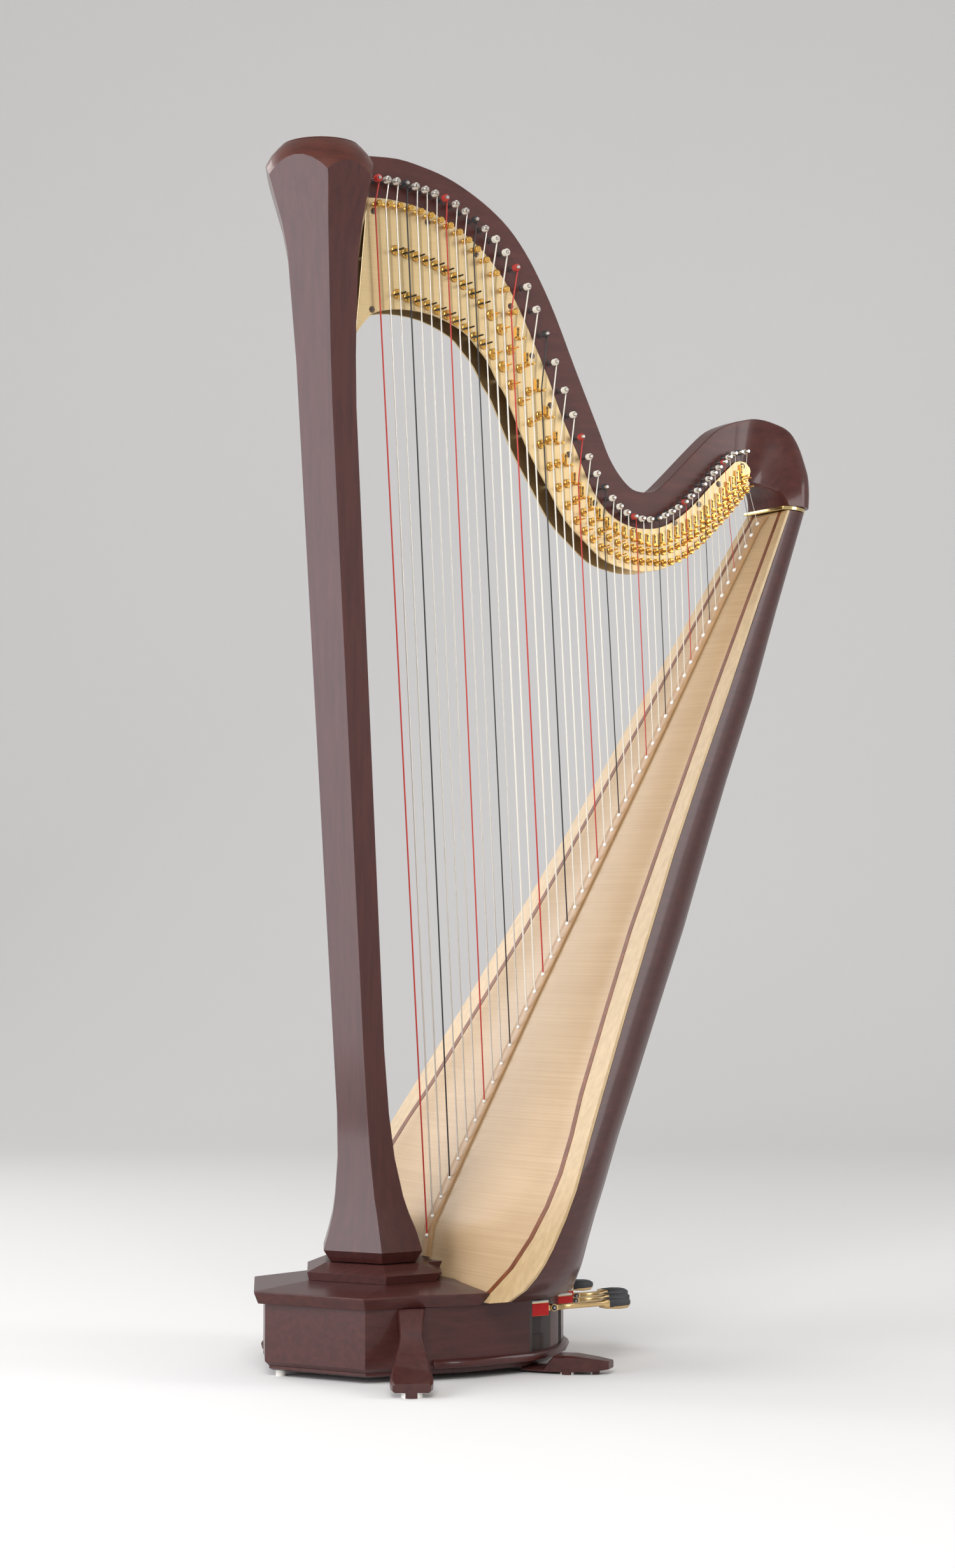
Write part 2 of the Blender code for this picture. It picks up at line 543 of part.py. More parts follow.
def make_column():
    mesh = bmesh.new()
    loft(mesh, [hexagon(*section) for section in COLUMN])
    column = put("column", mesh)
    combine(column, turned("crown_dome", [(0, DOME[0][1])] + list(DOME) + [(0, DOME[-1][1])], True),
            "INTERSECT")
    mesh = bmesh.new()
    rod(mesh, BORE_LOW, BORE_HIGH, BORE_RADIUS, 12)
    combine(column, put("column_bore", mesh, True), "DIFFERENCE")

    turned("crown_cap", CAP)

    mesh = bmesh.new()
    loft(mesh, [hexagon(*section) for section in PLINTH])
    plinth = put("column_plinth", mesh)
    mesh = bmesh.new()
    box(mesh, (0.240, -0.0455, 0.1327), (0.310, 0.0455, 0.1520))
    combine(plinth, put("plinth_tail", mesh, True), "UNION")
    mesh = bmesh.new()
    ring = [(board_x(0.11) - 0.0008, 0.11), (0.45, 0.11), (0.45, 0.20),
            (board_x(0.20) - 0.0008, 0.20)]
    slab_xz(mesh, ring, -0.3, 0.3)
    combine(plinth, put("plinth_board_side", mesh, True), "DIFFERENCE")
    mesh = bmesh.new()
    loft(mesh, [hexagon(*section, 0.0005) for section in COLUMN])
    clear = put("column_clear", mesh, True)
    around = [(radius + 0.0006, z) for radius, z in DOME]
    top = 1.8300
    profile = [(0, top), (around[0][0], top)] + around + [(0, DOME[-1][1])]
    combine(clear, turned("crown_clear", profile, True), "INTERSECT")
    return clear


def make_neck(column_clear):
    mesh = bmesh.new()
    low = [(x, z - NECK_BELOW_PLATE_TOP) for x, z in PLATE_TOP[:-1]]
    low[0] = (0.100, low[0][1])
    outline = list(NECK_TOP) + [(0.8900, 1.3545), (0.868, 1.350)] + low[::-1]
    slab_xz(mesh, outline, NECK_Y - NECK_HALF, NECK_Y + NECK_HALF)
    neck = put("neck", mesh)
    mesh = bmesh.new()
    rings = []
    for inner_x, inner_z, outer_x, outer_z, y, half, bend in SHOULDER:
        ring = []
        for along, width in ((0, -0.82), (0.06, -1), (0.5, -1), (0.75, -1 + 0.134 * bend),
                             (0.93, -1 + 0.5 * bend), (1, -1 + 0.9 * bend), (1, 1 - 0.9 * bend),
                             (0.93, 1 - 0.5 * bend), (0.75, 1 - 0.134 * bend), (0.5, 1), (0.06, 1),
                             (0, 0.82)):
            ring.append((inner_x + (outer_x - inner_x) * along, y + half * width,
                         inner_z + (outer_z - inner_z) * along))
        rings.append(ring)
    loft(mesh, rings)
    combine(neck, put("shoulder", mesh, True), "UNION")
    mesh = bmesh.new()
    side = NECK_HALF + 0.0001
    slab_xz(mesh, plate_outline(), -0.040, NECK_Y - side)
    slab_xz(mesh, plate_outline(), NECK_Y + side, 0.080)
    combine(neck, put("plate_recess", mesh, True), "DIFFERENCE")
    combine(neck, column_clear, "DIFFERENCE")
    mesh = bmesh.new()
    for number in range(1, STRINGS + 1):
        x, z = along_row(PIN_ROW, number)
        rod(mesh, (x, PIN_NEAR, z), (x, PIN_FAR, z), PIN_RADIUS, 6)
    combine(neck, put("tuning_pins", mesh, True), "UNION")


def plate_outline():
    return list(PLATE_TOP) + list(PLATE_END) + list(PLATE_LOW)


def string_top(number):
    """Where a string leaves its bridge pin or the bar of its nut."""
    x, z = along_row(NUT_ROW, number)
    if number <= BRIDGES:
        return x - 0.0082, z
    return x + 0.0088, z - 0.0080


def disc_places():
    """The middle of each disc, as (string number, row, x, z, lean of the string)."""
    places = []
    for number in range(3, STRINGS + 1):
        nut_z = along_row(NUT_ROW, number)[1]
        top_x, top_z = string_top(number)
        foot_x, foot_z = along_row(FOOT_ROW, number)
        length = nut_z - foot_z
        lean = (top_x - foot_x) / (top_z - foot_z)
        if number < 26:
            share = 0.0445 + 0.0115 * min(1.0, (number - 3) / 9)
            drops = (share * length, 2.0 * share * length)
            if number > 11:
                drops = (share * length, 1.95 * share * length)
        else:
            drop = nut_z - along_row(SHARP_ROW, number)[1]
            drops = (0.52 * drop, drop)
        for row, drop in zip(("natural", "sharp"), drops):
            z = nut_z - drop
            places.append((number, row, top_x - lean * (top_z - z), z, lean))
    return places


def add_fork(mesh, number, x, z, lean):
    """The two pins of a disc, set nearly square across the string."""
    start = NECK_Y - PLATE_HALF - 0.0020
    sleeved = number <= SLEEVED
    tilt = math.radians(15 if sleeved else 20)
    across = Vector((1, 0, -lean)).normalized()
    across.rotate(Matrix.Rotation(-tilt, 3, "Y"))
    reach = across * between(DISC_RADIUS, number) * (0.87 if sleeved else 0.82)
    for sign in (-1, 1):
        foot = Vector((x, start, z)) + reach * sign
        length = 0.0115 if sleeved else 0.0120
        rod(mesh, foot, foot + Vector((0, -length, 0)), 0.00145 if sleeved else 0.0010, 4)


def make_action(column_clear):
    face = NECK_Y - PLATE_HALF
    mesh = bmesh.new()
    slab_xz(mesh, plate_outline(), face, face + PLATE_THICK)
    plate = put("action_plate_left", mesh)
    combine(plate, column_clear, "DIFFERENCE")
    mesh = bmesh.new()
    for number in range(1, STRINGS + 1):
        x, z = along_row(NUT_ROW, number)
        if number <= BRIDGES:
            pin = x - 0.0040
            rod(mesh, (pin, face + 0.001, z), (pin, -0.0080, z), BRIDGE_RADIUS, 6)
            rod(mesh, (pin, -0.0075, z), (pin, -0.0125, z), 0.0050, 8)
            continue
        box(mesh, (x + 0.0016, 0.0002, z - 0.0059), (x + 0.0082, face + 0.001, z + 0.0097))
        bar = x + 0.0117
        rod(mesh, (bar, face + 0.001, z - 0.0080), (bar, -0.0085, z - 0.0080), NUT_BAR_RADIUS, 6)
    for number, row, x, z, lean in disc_places():
        if not MOVING_FROM <= number <= MOVING_TO:
            radius = between(DISC_RADIUS, number)
            rod(mesh, (x, face + 0.001, z), (x, face - 0.0026, z), radius, 8)
            add_fork(mesh, number, x, z, lean)
    combine(plate, put("action_fittings", mesh, True), "UNION")

    mesh = bmesh.new()
    far = NECK_Y + PLATE_HALF
    slab_xz(mesh, plate_outline(), far - PLATE_THICK, far)
    plate = put("action_plate_right", mesh)
    combine(plate, column_clear, "DIFFERENCE")
    mesh = bmesh.new()
    for x, z in SPACERS:
        rod(mesh, (x, face + PLATE_THICK + GAP, z), (x, far - 0.001, z), 0.0035, 6)
    combine(plate, put("plate_spacers", mesh, True), "UNION")

    for number, row, x, z, lean in disc_places():
        if MOVING_FROM <= number <= MOVING_TO:
            note = OCTAVE[(number - MOVING_FROM) % 7]
            centre = (x, face, z)
            mesh = bmesh.new()
            rod(mesh, (x, face - GAP, z), (x, face - 0.0026, z), between(DISC_RADIUS, number), 10)
            disc = put("disc_" + note + "_" + row, mesh, False, centre)
            mesh = bmesh.new()
            add_fork(mesh, number, x, z, lean)
            combine(disc, put("disc_pins_" + note + "_" + row, mesh, True, centre), "UNION")


def half_section(z, shrink):
    """Half-elliptic section of the soundbox at height z, from the near edge round the back."""
    wide = between(BOARD_WIDTH, z) - shrink
    deep = between(SHELL_DEPTH, z) - shrink
    front = board_x(z) + (BOARD_THICK + 0.0006) * 1.1467
    points = []
    for i in range(17):
        turn = math.pi * i / 16
        points.append((front + (deep - BOARD_THICK - 0.001) * math.sin(turn),
                       -wide * math.cos(turn), z))
    return points


def make_soundbox():
    heights = [z for z, wide in BOARD_WIDTH]
    mesh = bmesh.new()
    outer = [half_section(z, 0) for z in heights]
    inner = [half_section(z, SHELL_WALL) for z in heights]
    rows = []
    for a, b in zip(outer, inner):
        rows.append([mesh.verts.new(p) for p in a] + [mesh.verts.new(p) for p in b[::-1]])
    count = len(rows[0])
    for low, high in zip(rows, rows[1:]):
        for i in range(count):
            j = (i + 1) % count
            mesh.faces.new((low[i], low[j], high[j], high[i]))
    half = count // 2
    for row in (rows[0], rows[-1]):
        for i in range(half - 1):
            mesh.faces.new((row[i], row[i + 1], row[count - 2 - i], row[count - 1 - i]))
    shell = put("soundbox_shell", mesh)
    mesh = bmesh.new()
    for z, tall, wide in ((0.33, 0.055, 0.040), (0.53, 0.050, 0.036), (0.73, 0.045, 0.031),
                          (0.92, 0.040, 0.026), (1.09, 0.034, 0.021)):
        back = board_x(z) + between(SHELL_DEPTH, z)
        rings = []
        for x in (back - 0.045, back + 0.045):
            ring = []
            for i in range(14):
                turn = 2 * math.pi * i / 14
                ring.append((x, wide * math.cos(turn), z + tall * math.sin(turn)))
            rings.append(ring)
        loft(mesh, rings)
    combine(shell, put("sound_holes", mesh, True), "DIFFERENCE")

    mesh = bmesh.new()
    rings = []
    for z in heights:
        wide = between(BOARD_WIDTH, z)
        stripe = between(STRIPE_WIDTH, z)
        half = [wide, stripe + 0.005] + [(stripe - 0.006) * share for share in (1, 0.75, 0.5, 0.25)]
        across = [-y for y in half] + [0] + half[::-1]
        front = [board_point(z, y, crown_at(z, y)) for y in across]
        back = [point + Vector((BOARD_THICK * 1.1467, 0, 0)) for point in front]
        rings.append(front + back[::-1])
    loft(mesh, rings)
    put("soundboard", mesh)
    for side, sign in (("near", -1), ("far", 1)):
        mesh = bmesh.new()
        rings = []
        for z, wide in STRIPE_WIDTH:
            ring = []
            for lift, push in ((0.0001, -0.003), (0.0001, 0.003), (0.0005, 0.003), (0.0005, -0.003)):
                ring.append(board_point(z, sign * (wide + push), lift))
            rings.append(ring)
        loft(mesh, rings)
        put("inlay_" + side, mesh)

    mesh = bmesh.new()
    rings = []
    for height, grow in ((1.3096, 0.0004), (1.3154, 0.0010)):
        ring = []
        for point in half_section(BOARD_HIGH, -0.0012 - grow):
            ring.append((point[0], point[1], height))
        front = board_x(BOARD_HIGH) - 0.0075
        rings.append([(front, -0.0500, height)] + ring + [(front, 0.0500, height)])
    loft(mesh, rings)
    put("shoulder_band", mesh)


def string_radius(number):
    if number <= 12:
        return 0.00105 - 0.00003 * number
    return 0.00115 - 0.000016 * number


def seat_on_rib(height):
    """The point on the centre rib at this height."""
    low = height
    for step in range(4):
        low = height - (between(CROWN, low) + 0.0022) * BOARD_NORMAL.z
    return board_point(low, 0, between(CROWN, low) + 0.0022)


def make_strings():
    mesh = bmesh.new()
    heights = [z for z, wide in BOARD_WIDTH if 0.16 < z < BOARD_HIGH]
    heights = [0.1530] + heights + [1.3010]
    rings = []
    for z in heights:
        lift = between(CROWN, z)
        ring = []
        for y, height in ((-0.012, 0.0012), (0.012, 0.0012), (0.012, 0.0032), (-0.012, 0.0032)):
            ring.append(board_point(z, y, lift + height))
        rings.append(ring)
    loft(mesh, rings)
    strings = put("strings", mesh)
    mesh = bmesh.new()
    eyelets = bmesh.new()
    for number in range(1, STRINGS + 1):
        foot_x, foot_z = along_row(FOOT_ROW, number)
        top_x, top_z = string_top(number)
        pin_x, pin_z = along_row(PIN_ROW, number)
        radius = string_radius(number)
        seat = seat_on_rib(foot_z)
        eyelet = 0.0030 if number > 12 else 0.0026
        rod(eyelets, seat, seat + BOARD_NORMAL * 0.0028, eyelet, 8, eyelet * 0.75)
        nut = Vector((top_x, STRING_Y, top_z))
        pin = Vector((pin_x, STRING_Y - 0.0035, pin_z))
        reach = (pin - nut)
        end = pin - reach.normalized() * (PIN_RADIUS + radius + 0.0006)
        add_wire(mesh, (seat, nut, end), radius)
    bmesh.ops.remove_doubles(mesh, verts=mesh.verts, dist=0.000001)
    combine(strings, put("string_eyelets", eyelets, True), "UNION")
    combine(strings, put("string_lengths", mesh, True), "UNION")


def add_wire(mesh, points, radius):
    """A round wire through the points, drawn as a curve."""
    curve = bpy.data.curves.new("wire", "CURVE")
    curve.dimensions = "3D"
    curve.bevel_depth = radius
    curve.bevel_resolution = 0
    curve.use_fill_caps = True
    spline = curve.splines.new("POLY")
    spline.points.add(len(points) - 1)
    for point, place_at in zip(spline.points, points):
        point.co = (*place_at, 1)
    drawing = bpy.data.objects.new("wire", curve)
    HELPERS.objects.link(drawing)
    data = bpy.data.meshes.new_from_object(drawing)
    bpy.data.objects.remove(drawing)
    mesh.from_mesh(data)


def make_pedals():
    mesh = bmesh.new()
    rod(mesh, RACK + Vector((0, -0.122, 0)), RACK + Vector((0, 0.122, 0)), 0.0050, 10)
    rack = put("pedal_rack", mesh)
    mesh = bmesh.new()
    for y in (-0.118, 0.118):
        box(mesh, (RACK.x - 0.009, y - 0.003, 0.0164), (RACK.x + 0.009, y + 0.003, 0.064))
    box(mesh, (RACK.x - 0.012, -0.1212, 0.0162), (RACK.x + 0.012, 0.1212, 0.0210))
    combine(rack, put("rack_cheeks", mesh, True), "UNION")
    for name, y, rack_y, fold, tip in PEDALS:
        pivot = (RACK.x, rack_y, RACK.z)
        hinge = (fold, y, PEDAL_Z)
        wall = fold - 0.0290 if abs(y) > 0.15 else fold - 0.0250
        path = [(RACK.x + 0.006, rack_y, RACK.z), (0.150, rack_y, 0.0590)]
        if abs(y) > 0.15:
            path.append((0.300, math.copysign(0.150, y), 0.0760))
            path.append((0.345, y, 0.0850))
        else:
            path.append((wall - 0.050, y, 0.0820))
        path.append((wall - 0.018, y, PEDAL_Z))
        path.append((fold - 0.0070, y, PEDAL_Z))
        mesh = bmesh.new()
        rings = []
        for x, side_y, z in path:
            rings.append([(x, side_y - LEVER_HALF, z - 0.0040), (x, side_y + LEVER_HALF, z - 0.0040),
                          (x, side_y + LEVER_HALF, z + 0.0040), (x, side_y - LEVER_HALF, z + 0.0040)])
        loft(mesh, rings)
        lever = put("pedal_" + name, mesh, False, pivot)
        mesh = bmesh.new()
        rod(mesh, (RACK.x, rack_y - 0.006, RACK.z), (RACK.x, rack_y + 0.006, RACK.z), 0.0095, 12)
        rod(mesh, (fold, y - 0.0018, PEDAL_Z), (fold, y + 0.0018, PEDAL_Z), 0.0052, 12)
        box(mesh, (fold - 0.012, y - 0.0018, PEDAL_Z - 0.0035), (fold, y + 0.0018, PEDAL_Z + 0.0035))
        box(mesh, (wall - 0.011, y - FELT_HALF, PEDAL_Z - 0.0100),
            (wall + 0.019, y + FELT_HALF, PEDAL_Z + 0.0110))
        combine(lever, put("lever_ends_" + name, mesh, True), "UNION")
        mesh = bmesh.new()
        rod(mesh, (RACK.x, rack_y - 0.010, RACK.z), (RACK.x, rack_y + 0.010, RACK.z), 0.0058, 10)
        rod(mesh, (fold, y - 0.010, PEDAL_Z), (fold, y + 0.010, PEDAL_Z), 0.0026, 8)
        combine(lever, put("lever_holes_" + name, mesh, True), "DIFFERENCE")

        mesh = bmesh.new()
        rings = []
        for x, half, low, high in ((fold + 0.0070, 0.0042, -0.0040, 0.0040),
                                   (fold + 0.0300, 0.0048, -0.0035, 0.0035),
                                   (tip - 0.0480, 0.0070, -0.0035, 0.0035),
                                   (tip - 0.0440, 0.0105, -0.0075, 0.0060),
                                   (tip - 0.0200, 0.0135, -0.0090, 0.0065),
                                   (tip - 0.0060, 0.0120, -0.0085, 0.0055),
                                   (tip, 0.0080, -0.0060, 0.0030)):
            ring = []
            for a, z in ((-1, 0.6 * low), (-0.8, low), (0.8, low), (1, 0.6 * low), (1, 0.6 * high),
                         (0.8, high), (-0.8, high), (-1, 0.6 * high)):
                ring.append((x, y + a * half, PEDAL_Z + z))
            rings.append(ring)
        loft(mesh, rings)
        end = put("pedal_tip_" + name, mesh, False, hinge)
        mesh = bmesh.new()
        for low, high in ((-0.0046, -0.0021), (0.0021, 0.0046)):
            rod(mesh, (fold, y + low, PEDAL_Z), (fold, y + high, PEDAL_Z), 0.0052, 12)
            box(mesh, (fold, y + low, PEDAL_Z - 0.0036), (fold + 0.010, y + high, PEDAL_Z + 0.0036))
        combine(end, put("tip_cheeks_" + name, mesh, True), "UNION")
        mesh = bmesh.new()
        rod(mesh, (fold, y - 0.0040, PEDAL_Z), (fold, y + 0.0040, PEDAL_Z), 0.0021, 8)
        combine(end, put("fold_pin_" + name, mesh, True), "UNION")


def make_rods():
    axis = (BORE_HIGH - BORE_LOW).normalized()
    low = BORE_LOW + axis * 0.040
    high = BORE_LOW + axis * 1.572
    for i, (name, *_) in enumerate(PEDALS):
        turn = 2 * math.pi * i / 7
        off = Vector((0.0095 * math.cos(turn), 0.0095 * math.sin(turn), 0))
        mesh = bmesh.new()
        rod(mesh, low + off, high + off, 0.0022, 6)
        put("pedal_rod_" + name, mesh, False, low + off)


clear_scene()
HARP = new_collection("Pedal harp")
HELPERS = new_collection("Helpers")
make_base()
make_legs()
clear = make_column()
make_neck(clear)
make_action(clear)
make_soundbox()
make_strings()
make_pedals()
make_rods()
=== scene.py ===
"""Looks of the pedal harp: wood, brass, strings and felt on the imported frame."""

import math

import bmesh
import bpy
from mathutils import Matrix, Vector


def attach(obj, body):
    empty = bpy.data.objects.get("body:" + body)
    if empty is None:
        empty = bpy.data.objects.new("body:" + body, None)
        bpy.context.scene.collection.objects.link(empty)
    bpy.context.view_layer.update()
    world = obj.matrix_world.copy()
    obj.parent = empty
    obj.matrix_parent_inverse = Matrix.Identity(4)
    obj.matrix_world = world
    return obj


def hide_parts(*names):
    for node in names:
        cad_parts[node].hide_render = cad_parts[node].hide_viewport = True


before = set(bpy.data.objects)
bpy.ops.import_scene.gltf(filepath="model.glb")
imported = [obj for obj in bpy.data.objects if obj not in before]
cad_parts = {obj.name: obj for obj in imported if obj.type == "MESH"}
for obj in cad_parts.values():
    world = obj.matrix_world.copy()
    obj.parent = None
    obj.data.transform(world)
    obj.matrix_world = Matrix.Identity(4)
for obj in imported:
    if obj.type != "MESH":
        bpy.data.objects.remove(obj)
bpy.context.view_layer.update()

# Frame of the numbers below: x = 0 at the front tip of the base
ORIGIN_X = 0.5047

# Camera solved from the photograph, azimuth and elevation in radians, lens in mm
CAMERA_AT = (-2.0085, -3.6736, 0.6373)
CAMERA_TURN = math.radians(-33.031)
CAMERA_TILT = math.radians(-2.853)
CAMERA_LENS = 66.85
CAMERA_SENSOR = 36.0
CAMERA_FAR = 60.0

# Studio: brightness of the world; lamps as name, place, aim, size, power, colour
WORLD_GREY = 0.90
WORLD_STRENGTH = 0.55
WHITE_LIGHT = (1, 1, 1)
COOL_LIGHT = (0.93, 0.94, 1.0)
LAMPS = (("key", (-2.6, -3.4, 3.4), (0, 0, 0.9), (2.2, 2.2), 130, WHITE_LIGHT),
         ("left", (-3.4, 0.4, 1.3), (0, 0, 0.9), (2.6, 2.8), 95, COOL_LIGHT),
         ("side", (3.2, -2.6, 2.0), (0, 0, 0.8), (1.4, 2.8), 70, WHITE_LIGHT),
         ("back", (-1.5, 3.6, 2.8), (0, 0, 1.0), (2.0, 2.0), 60, WHITE_LIGHT))

# Floor: where it ends behind the harp, the radius of its sweep into the
# backdrop, and how far both reach
FLOOR_END = 4.0
SWEEP = 3.0
SWEEP_STEPS = 16
FLOOR_FRONT = -14.0
BACKDROP_HIGH = 14.0
FLOOR_SIDE = 20

# Strings: count, note names from string 1 up, plane; the first ones are wound,
# and their discs have sleeved pins
STRINGS = 47
OCTAVE = "CDEFGAB"
STRING_Y = -0.0040
WOUND = 12
SLEEVED = 12
BRIDGES = 15
LIVE_DISCS = (15, 21)

# Neck and action plates: middle plane, half thicknesses, near face of the near plate
NECK_Y = 0.026
NECK_HALF = 0.019
PLATE_HALF = 0.0225
FACE_Y = NECK_Y - PLATE_HALF
PLATE_THICK = 0.0030
NECK_BELOW_PLATE_TOP = 0.027
SPACER_RADIUS = 0.0035

# Tuning pins: near and far ends, radius under the string
PIN_NEAR_Y = -0.0165
PIN_FAR_Y = 0.0600
PIN_RADIUS = 0.0030
PIN_TURNS = 4

# Soundboard plane: x = BOARD_X + BOARD_SLOPE * z
BOARD_X = 0.2040
BOARD_SLOPE = 0.5612
BOARD_THICK = 0.0045
THICK_ALONG_X = BOARD_THICK * 1.1467
RIB_HALF = 0.012
RIB_HIGH = 0.0032

# Pedals: height of their line, height that divides the upper from the lower
# part of the slots, and the half width or sides of the slots there
PEDAL_Z = 0.0905
SLOT_STEP_Z = 0.050
SLOT_HIGH = 0.00475
SLOT_LOW = (-0.0050, 0.0075)

# Soundboard by height: half width, half width to the inlay, rise of its middle
BOARD_WIDTH = ((0.1090, 0.2080), (0.115, 0.2496), (0.133, 0.274), (0.151, 0.285),
               (0.169, 0.2910), (0.19, 0.2935), (0.23, 0.2925), (0.27, 0.287),
               (0.3366, 0.2664), (0.40, 0.2485), (0.52, 0.216), (0.6373, 0.1866),
               (0.75, 0.158), (0.87, 0.134), (1.00, 0.111), (1.15, 0.082),
               (1.28, 0.0582), (1.3085, 0.053))
STRIPE_WIDTH = ((0.1105, 0.1815), (0.125, 0.197), (0.158, 0.222), (0.1994, 0.2366),
                (0.2435, 0.2415), (0.2895, 0.2376), (0.34, 0.224), (0.3977, 0.2027),
                (0.52, 0.170), (0.6373, 0.1406), (0.80, 0.112), (0.9937, 0.0797),
                (1.15, 0.057), (1.3080, 0.0346))
CROWN = ((0.109, 0.0), (0.151, 0.0), (0.169, 0.008), (0.190, 0.0165), (0.30, 0.018),
         (0.52, 0.0184), (0.90, 0.0112), (1.15, 0.0095), (1.28, 0.0062), (1.3085, 0.0))

# Outlines of the neck and the plates as x, z, from the column to the shoulder
NECK_TOP = ((0.1912, 1.7877), (0.2422, 1.7907), (0.2862, 1.7849), (0.3279, 1.7752),
            (0.3674, 1.7595), (0.4072, 1.7380), (0.4421, 1.7121), (0.4719, 1.6796),
            (0.4991, 1.6398), (0.5291, 1.5863), (0.5663, 1.5073), (0.6107, 1.4159),
            (0.6305, 1.3747), (0.6505, 1.3479), (0.6702, 1.3309), (0.6856, 1.3255),
            (0.7079, 1.3254), (0.7239, 1.3312), (0.7495, 1.3526), (0.8145, 1.4132),
            (0.8473, 1.4398), (0.8804, 1.4539), (0.8900, 1.4565))
PLATE_TOP = ((0.1880, 1.7239), (0.2224, 1.7264), (0.2685, 1.7228), (0.3100, 1.7128),
             (0.3520, 1.6950), (0.3890, 1.6717), (0.4156, 1.6469), (0.4397, 1.6183),
             (0.4694, 1.5697), (0.5125, 1.4869), (0.5345, 1.4366), (0.5637, 1.3806),
             (0.5907, 1.3281), (0.6105, 1.3012), (0.6353, 1.2807), (0.6640, 1.2694),
             (0.6955, 1.2665), (0.7274, 1.2716), (0.7595, 1.2870), (0.7919, 1.3116),
             (0.8278, 1.3458), (0.8641, 1.3777))
PLATE_END = ((0.8760, 1.3880), (0.8874, 1.3911), (0.8990, 1.3890), (0.9070, 1.3810),
             (0.9104, 1.3685), (0.9054, 1.3523))
PLATE_LOW = ((0.8969, 1.3385), (0.8603, 1.3013), (0.8208, 1.2643), (0.7786, 1.2301),
             (0.7336, 1.2062), (0.6922, 1.1984), (0.6513, 1.2020), (0.6139, 1.2134),
             (0.5769, 1.2413), (0.5439, 1.2697), (0.5099, 1.3192), (0.4713, 1.3782),
             (0.4355, 1.4489), (0.4189, 1.4712), (0.4022, 1.4994), (0.3811, 1.5210),
             (0.3569, 1.5416), (0.3046, 1.5599), (0.2484, 1.5630), (0.2049, 1.5541),
             (0.1863, 1.5405), (0.1689, 1.5185))
SPACERS = ((0.200, 1.640), (0.268, 1.585), (0.345, 1.590), (0.395, 1.545),
           (0.4430, 1.4820), (0.4870, 1.4000), (0.5360, 1.3250), (0.5980, 1.2600),
           (0.6900, 1.2270), (0.7780, 1.2640), (0.8560, 1.3320))
SCREWS = ((0.1980, 1.7045), (0.2927, 1.7005), (0.3797, 1.6632), (0.4430, 1.5904),
          (0.1955, 1.5565), (0.4823, 1.5180), (0.5162, 1.4445), (0.5510, 1.3713),
          (0.5995, 1.2994), (0.6735, 1.2616), (0.7553, 1.2807), (0.8032, 1.3138),
          (0.8432, 1.3497), (0.8916, 1.3827))

# Sections of the shoulder: inner x, z, outer x, z, middle y, half width, roundness
SHOULDER = ((0.868, 1.351, 0.8700, 1.4490, 0.026, 0.0189, 0.0),
            (0.878, 1.353, 0.8920, 1.4570, 0.026, 0.0191, 0.0),
            (0.893, 1.356, 0.9222, 1.4629, 0.026, 0.0194, 0.05),
            (0.910, 1.354, 0.9558, 1.4594, 0.022, 0.0240, 0.4),
            (0.922, 1.349, 0.9830, 1.4470, 0.014, 0.0320, 0.6),
            (0.930, 1.342, 1.0000, 1.4180, 0.007, 0.0410, 0.8),
            (0.9345, 1.333, 1.0080, 1.3860, 0.002, 0.0475, 1.0),
            (0.9370, 1.324, 1.0085, 1.3500, 0.0, 0.0510, 1.0),
            (0.9385, 1.3160, 1.0050, 1.3160, 0.0, 0.0530, 1.0))

# Rows as string number, x, z: string feet, tuning pins, nuts, sharp discs
FOOT_ROW = ((1, 0.2858, 0.1853), (5, 0.3457, 0.2954), (12, 0.4552, 0.4890),
            (19, 0.5578, 0.6709), (27, 0.6695, 0.8607), (35, 0.7703, 1.0380),
            (43, 0.8725, 1.2129), (47, 0.9181, 1.2907))
PIN_ROW = ((1, 0.1975, 1.7515), (4, 0.2465, 1.7503), (7, 0.2981, 1.7425), (9, 0.3349, 1.7315),
           (11, 0.3702, 1.7123), (13, 0.4069, 1.6871), (15, 0.4448, 1.6480), (16, 0.4650, 1.6210),
           (18, 0.4988, 1.5517), (20, 0.5346, 1.4683), (22, 0.5656, 1.3983), (24, 0.5956, 1.3437),
           (26, 0.6251, 1.3080), (28, 0.6528, 1.2874), (30, 0.6822, 1.2802), (32, 0.7134, 1.2831),
           (35, 0.7530, 1.3038), (39, 0.8023, 1.3440), (43, 0.8439, 1.3836), (45, 0.8647, 1.3991),
           (47, 0.8891, 1.4043))
NUT_ROW = ((1, 0.2042, 1.7142), (3, 0.2410, 1.7161), (6, 0.2953, 1.7084), (9, 0.3460, 1.6898),
           (12, 0.3948, 1.6533), (14, 0.4307, 1.6124), (15, 0.4470, 1.5796), (16, 0.4492, 1.5494),
           (18, 0.4857, 1.4729), (20, 0.5206, 1.3948), (22, 0.5547, 1.3342), (24, 0.5853, 1.2983),
           (26, 0.6190, 1.2700), (29, 0.6664, 1.2543), (32, 0.7091, 1.2490), (35, 0.7515, 1.2657),
           (39, 0.8008, 1.2941), (43, 0.8453, 1.3351), (47, 0.8830, 1.3744))
SHARP_ROW = ((26, 0.6240, 1.2270), (28, 0.6547, 1.2157), (31, 0.6980, 1.2149),
             (34, 0.7409, 1.2180), (37, 0.7795, 1.2389), (41, 0.8285, 1.2812),
             (47, 0.8920, 1.3468))

# Pedals: note, y, x of the folding hinge, x of the tip's end
PEDALS = (("D", -0.172, 0.3977, 0.5307), ("C", -0.125, 0.4681, 0.5634),
          ("B", -0.080, 0.5010, 0.5930), ("E", 0.032, 0.5140, 0.6080),
          ("F", 0.080, 0.5010, 0.5930), ("G", 0.128, 0.4661, 0.5634),
          ("A", 0.172, 0.3977, 0.5307))
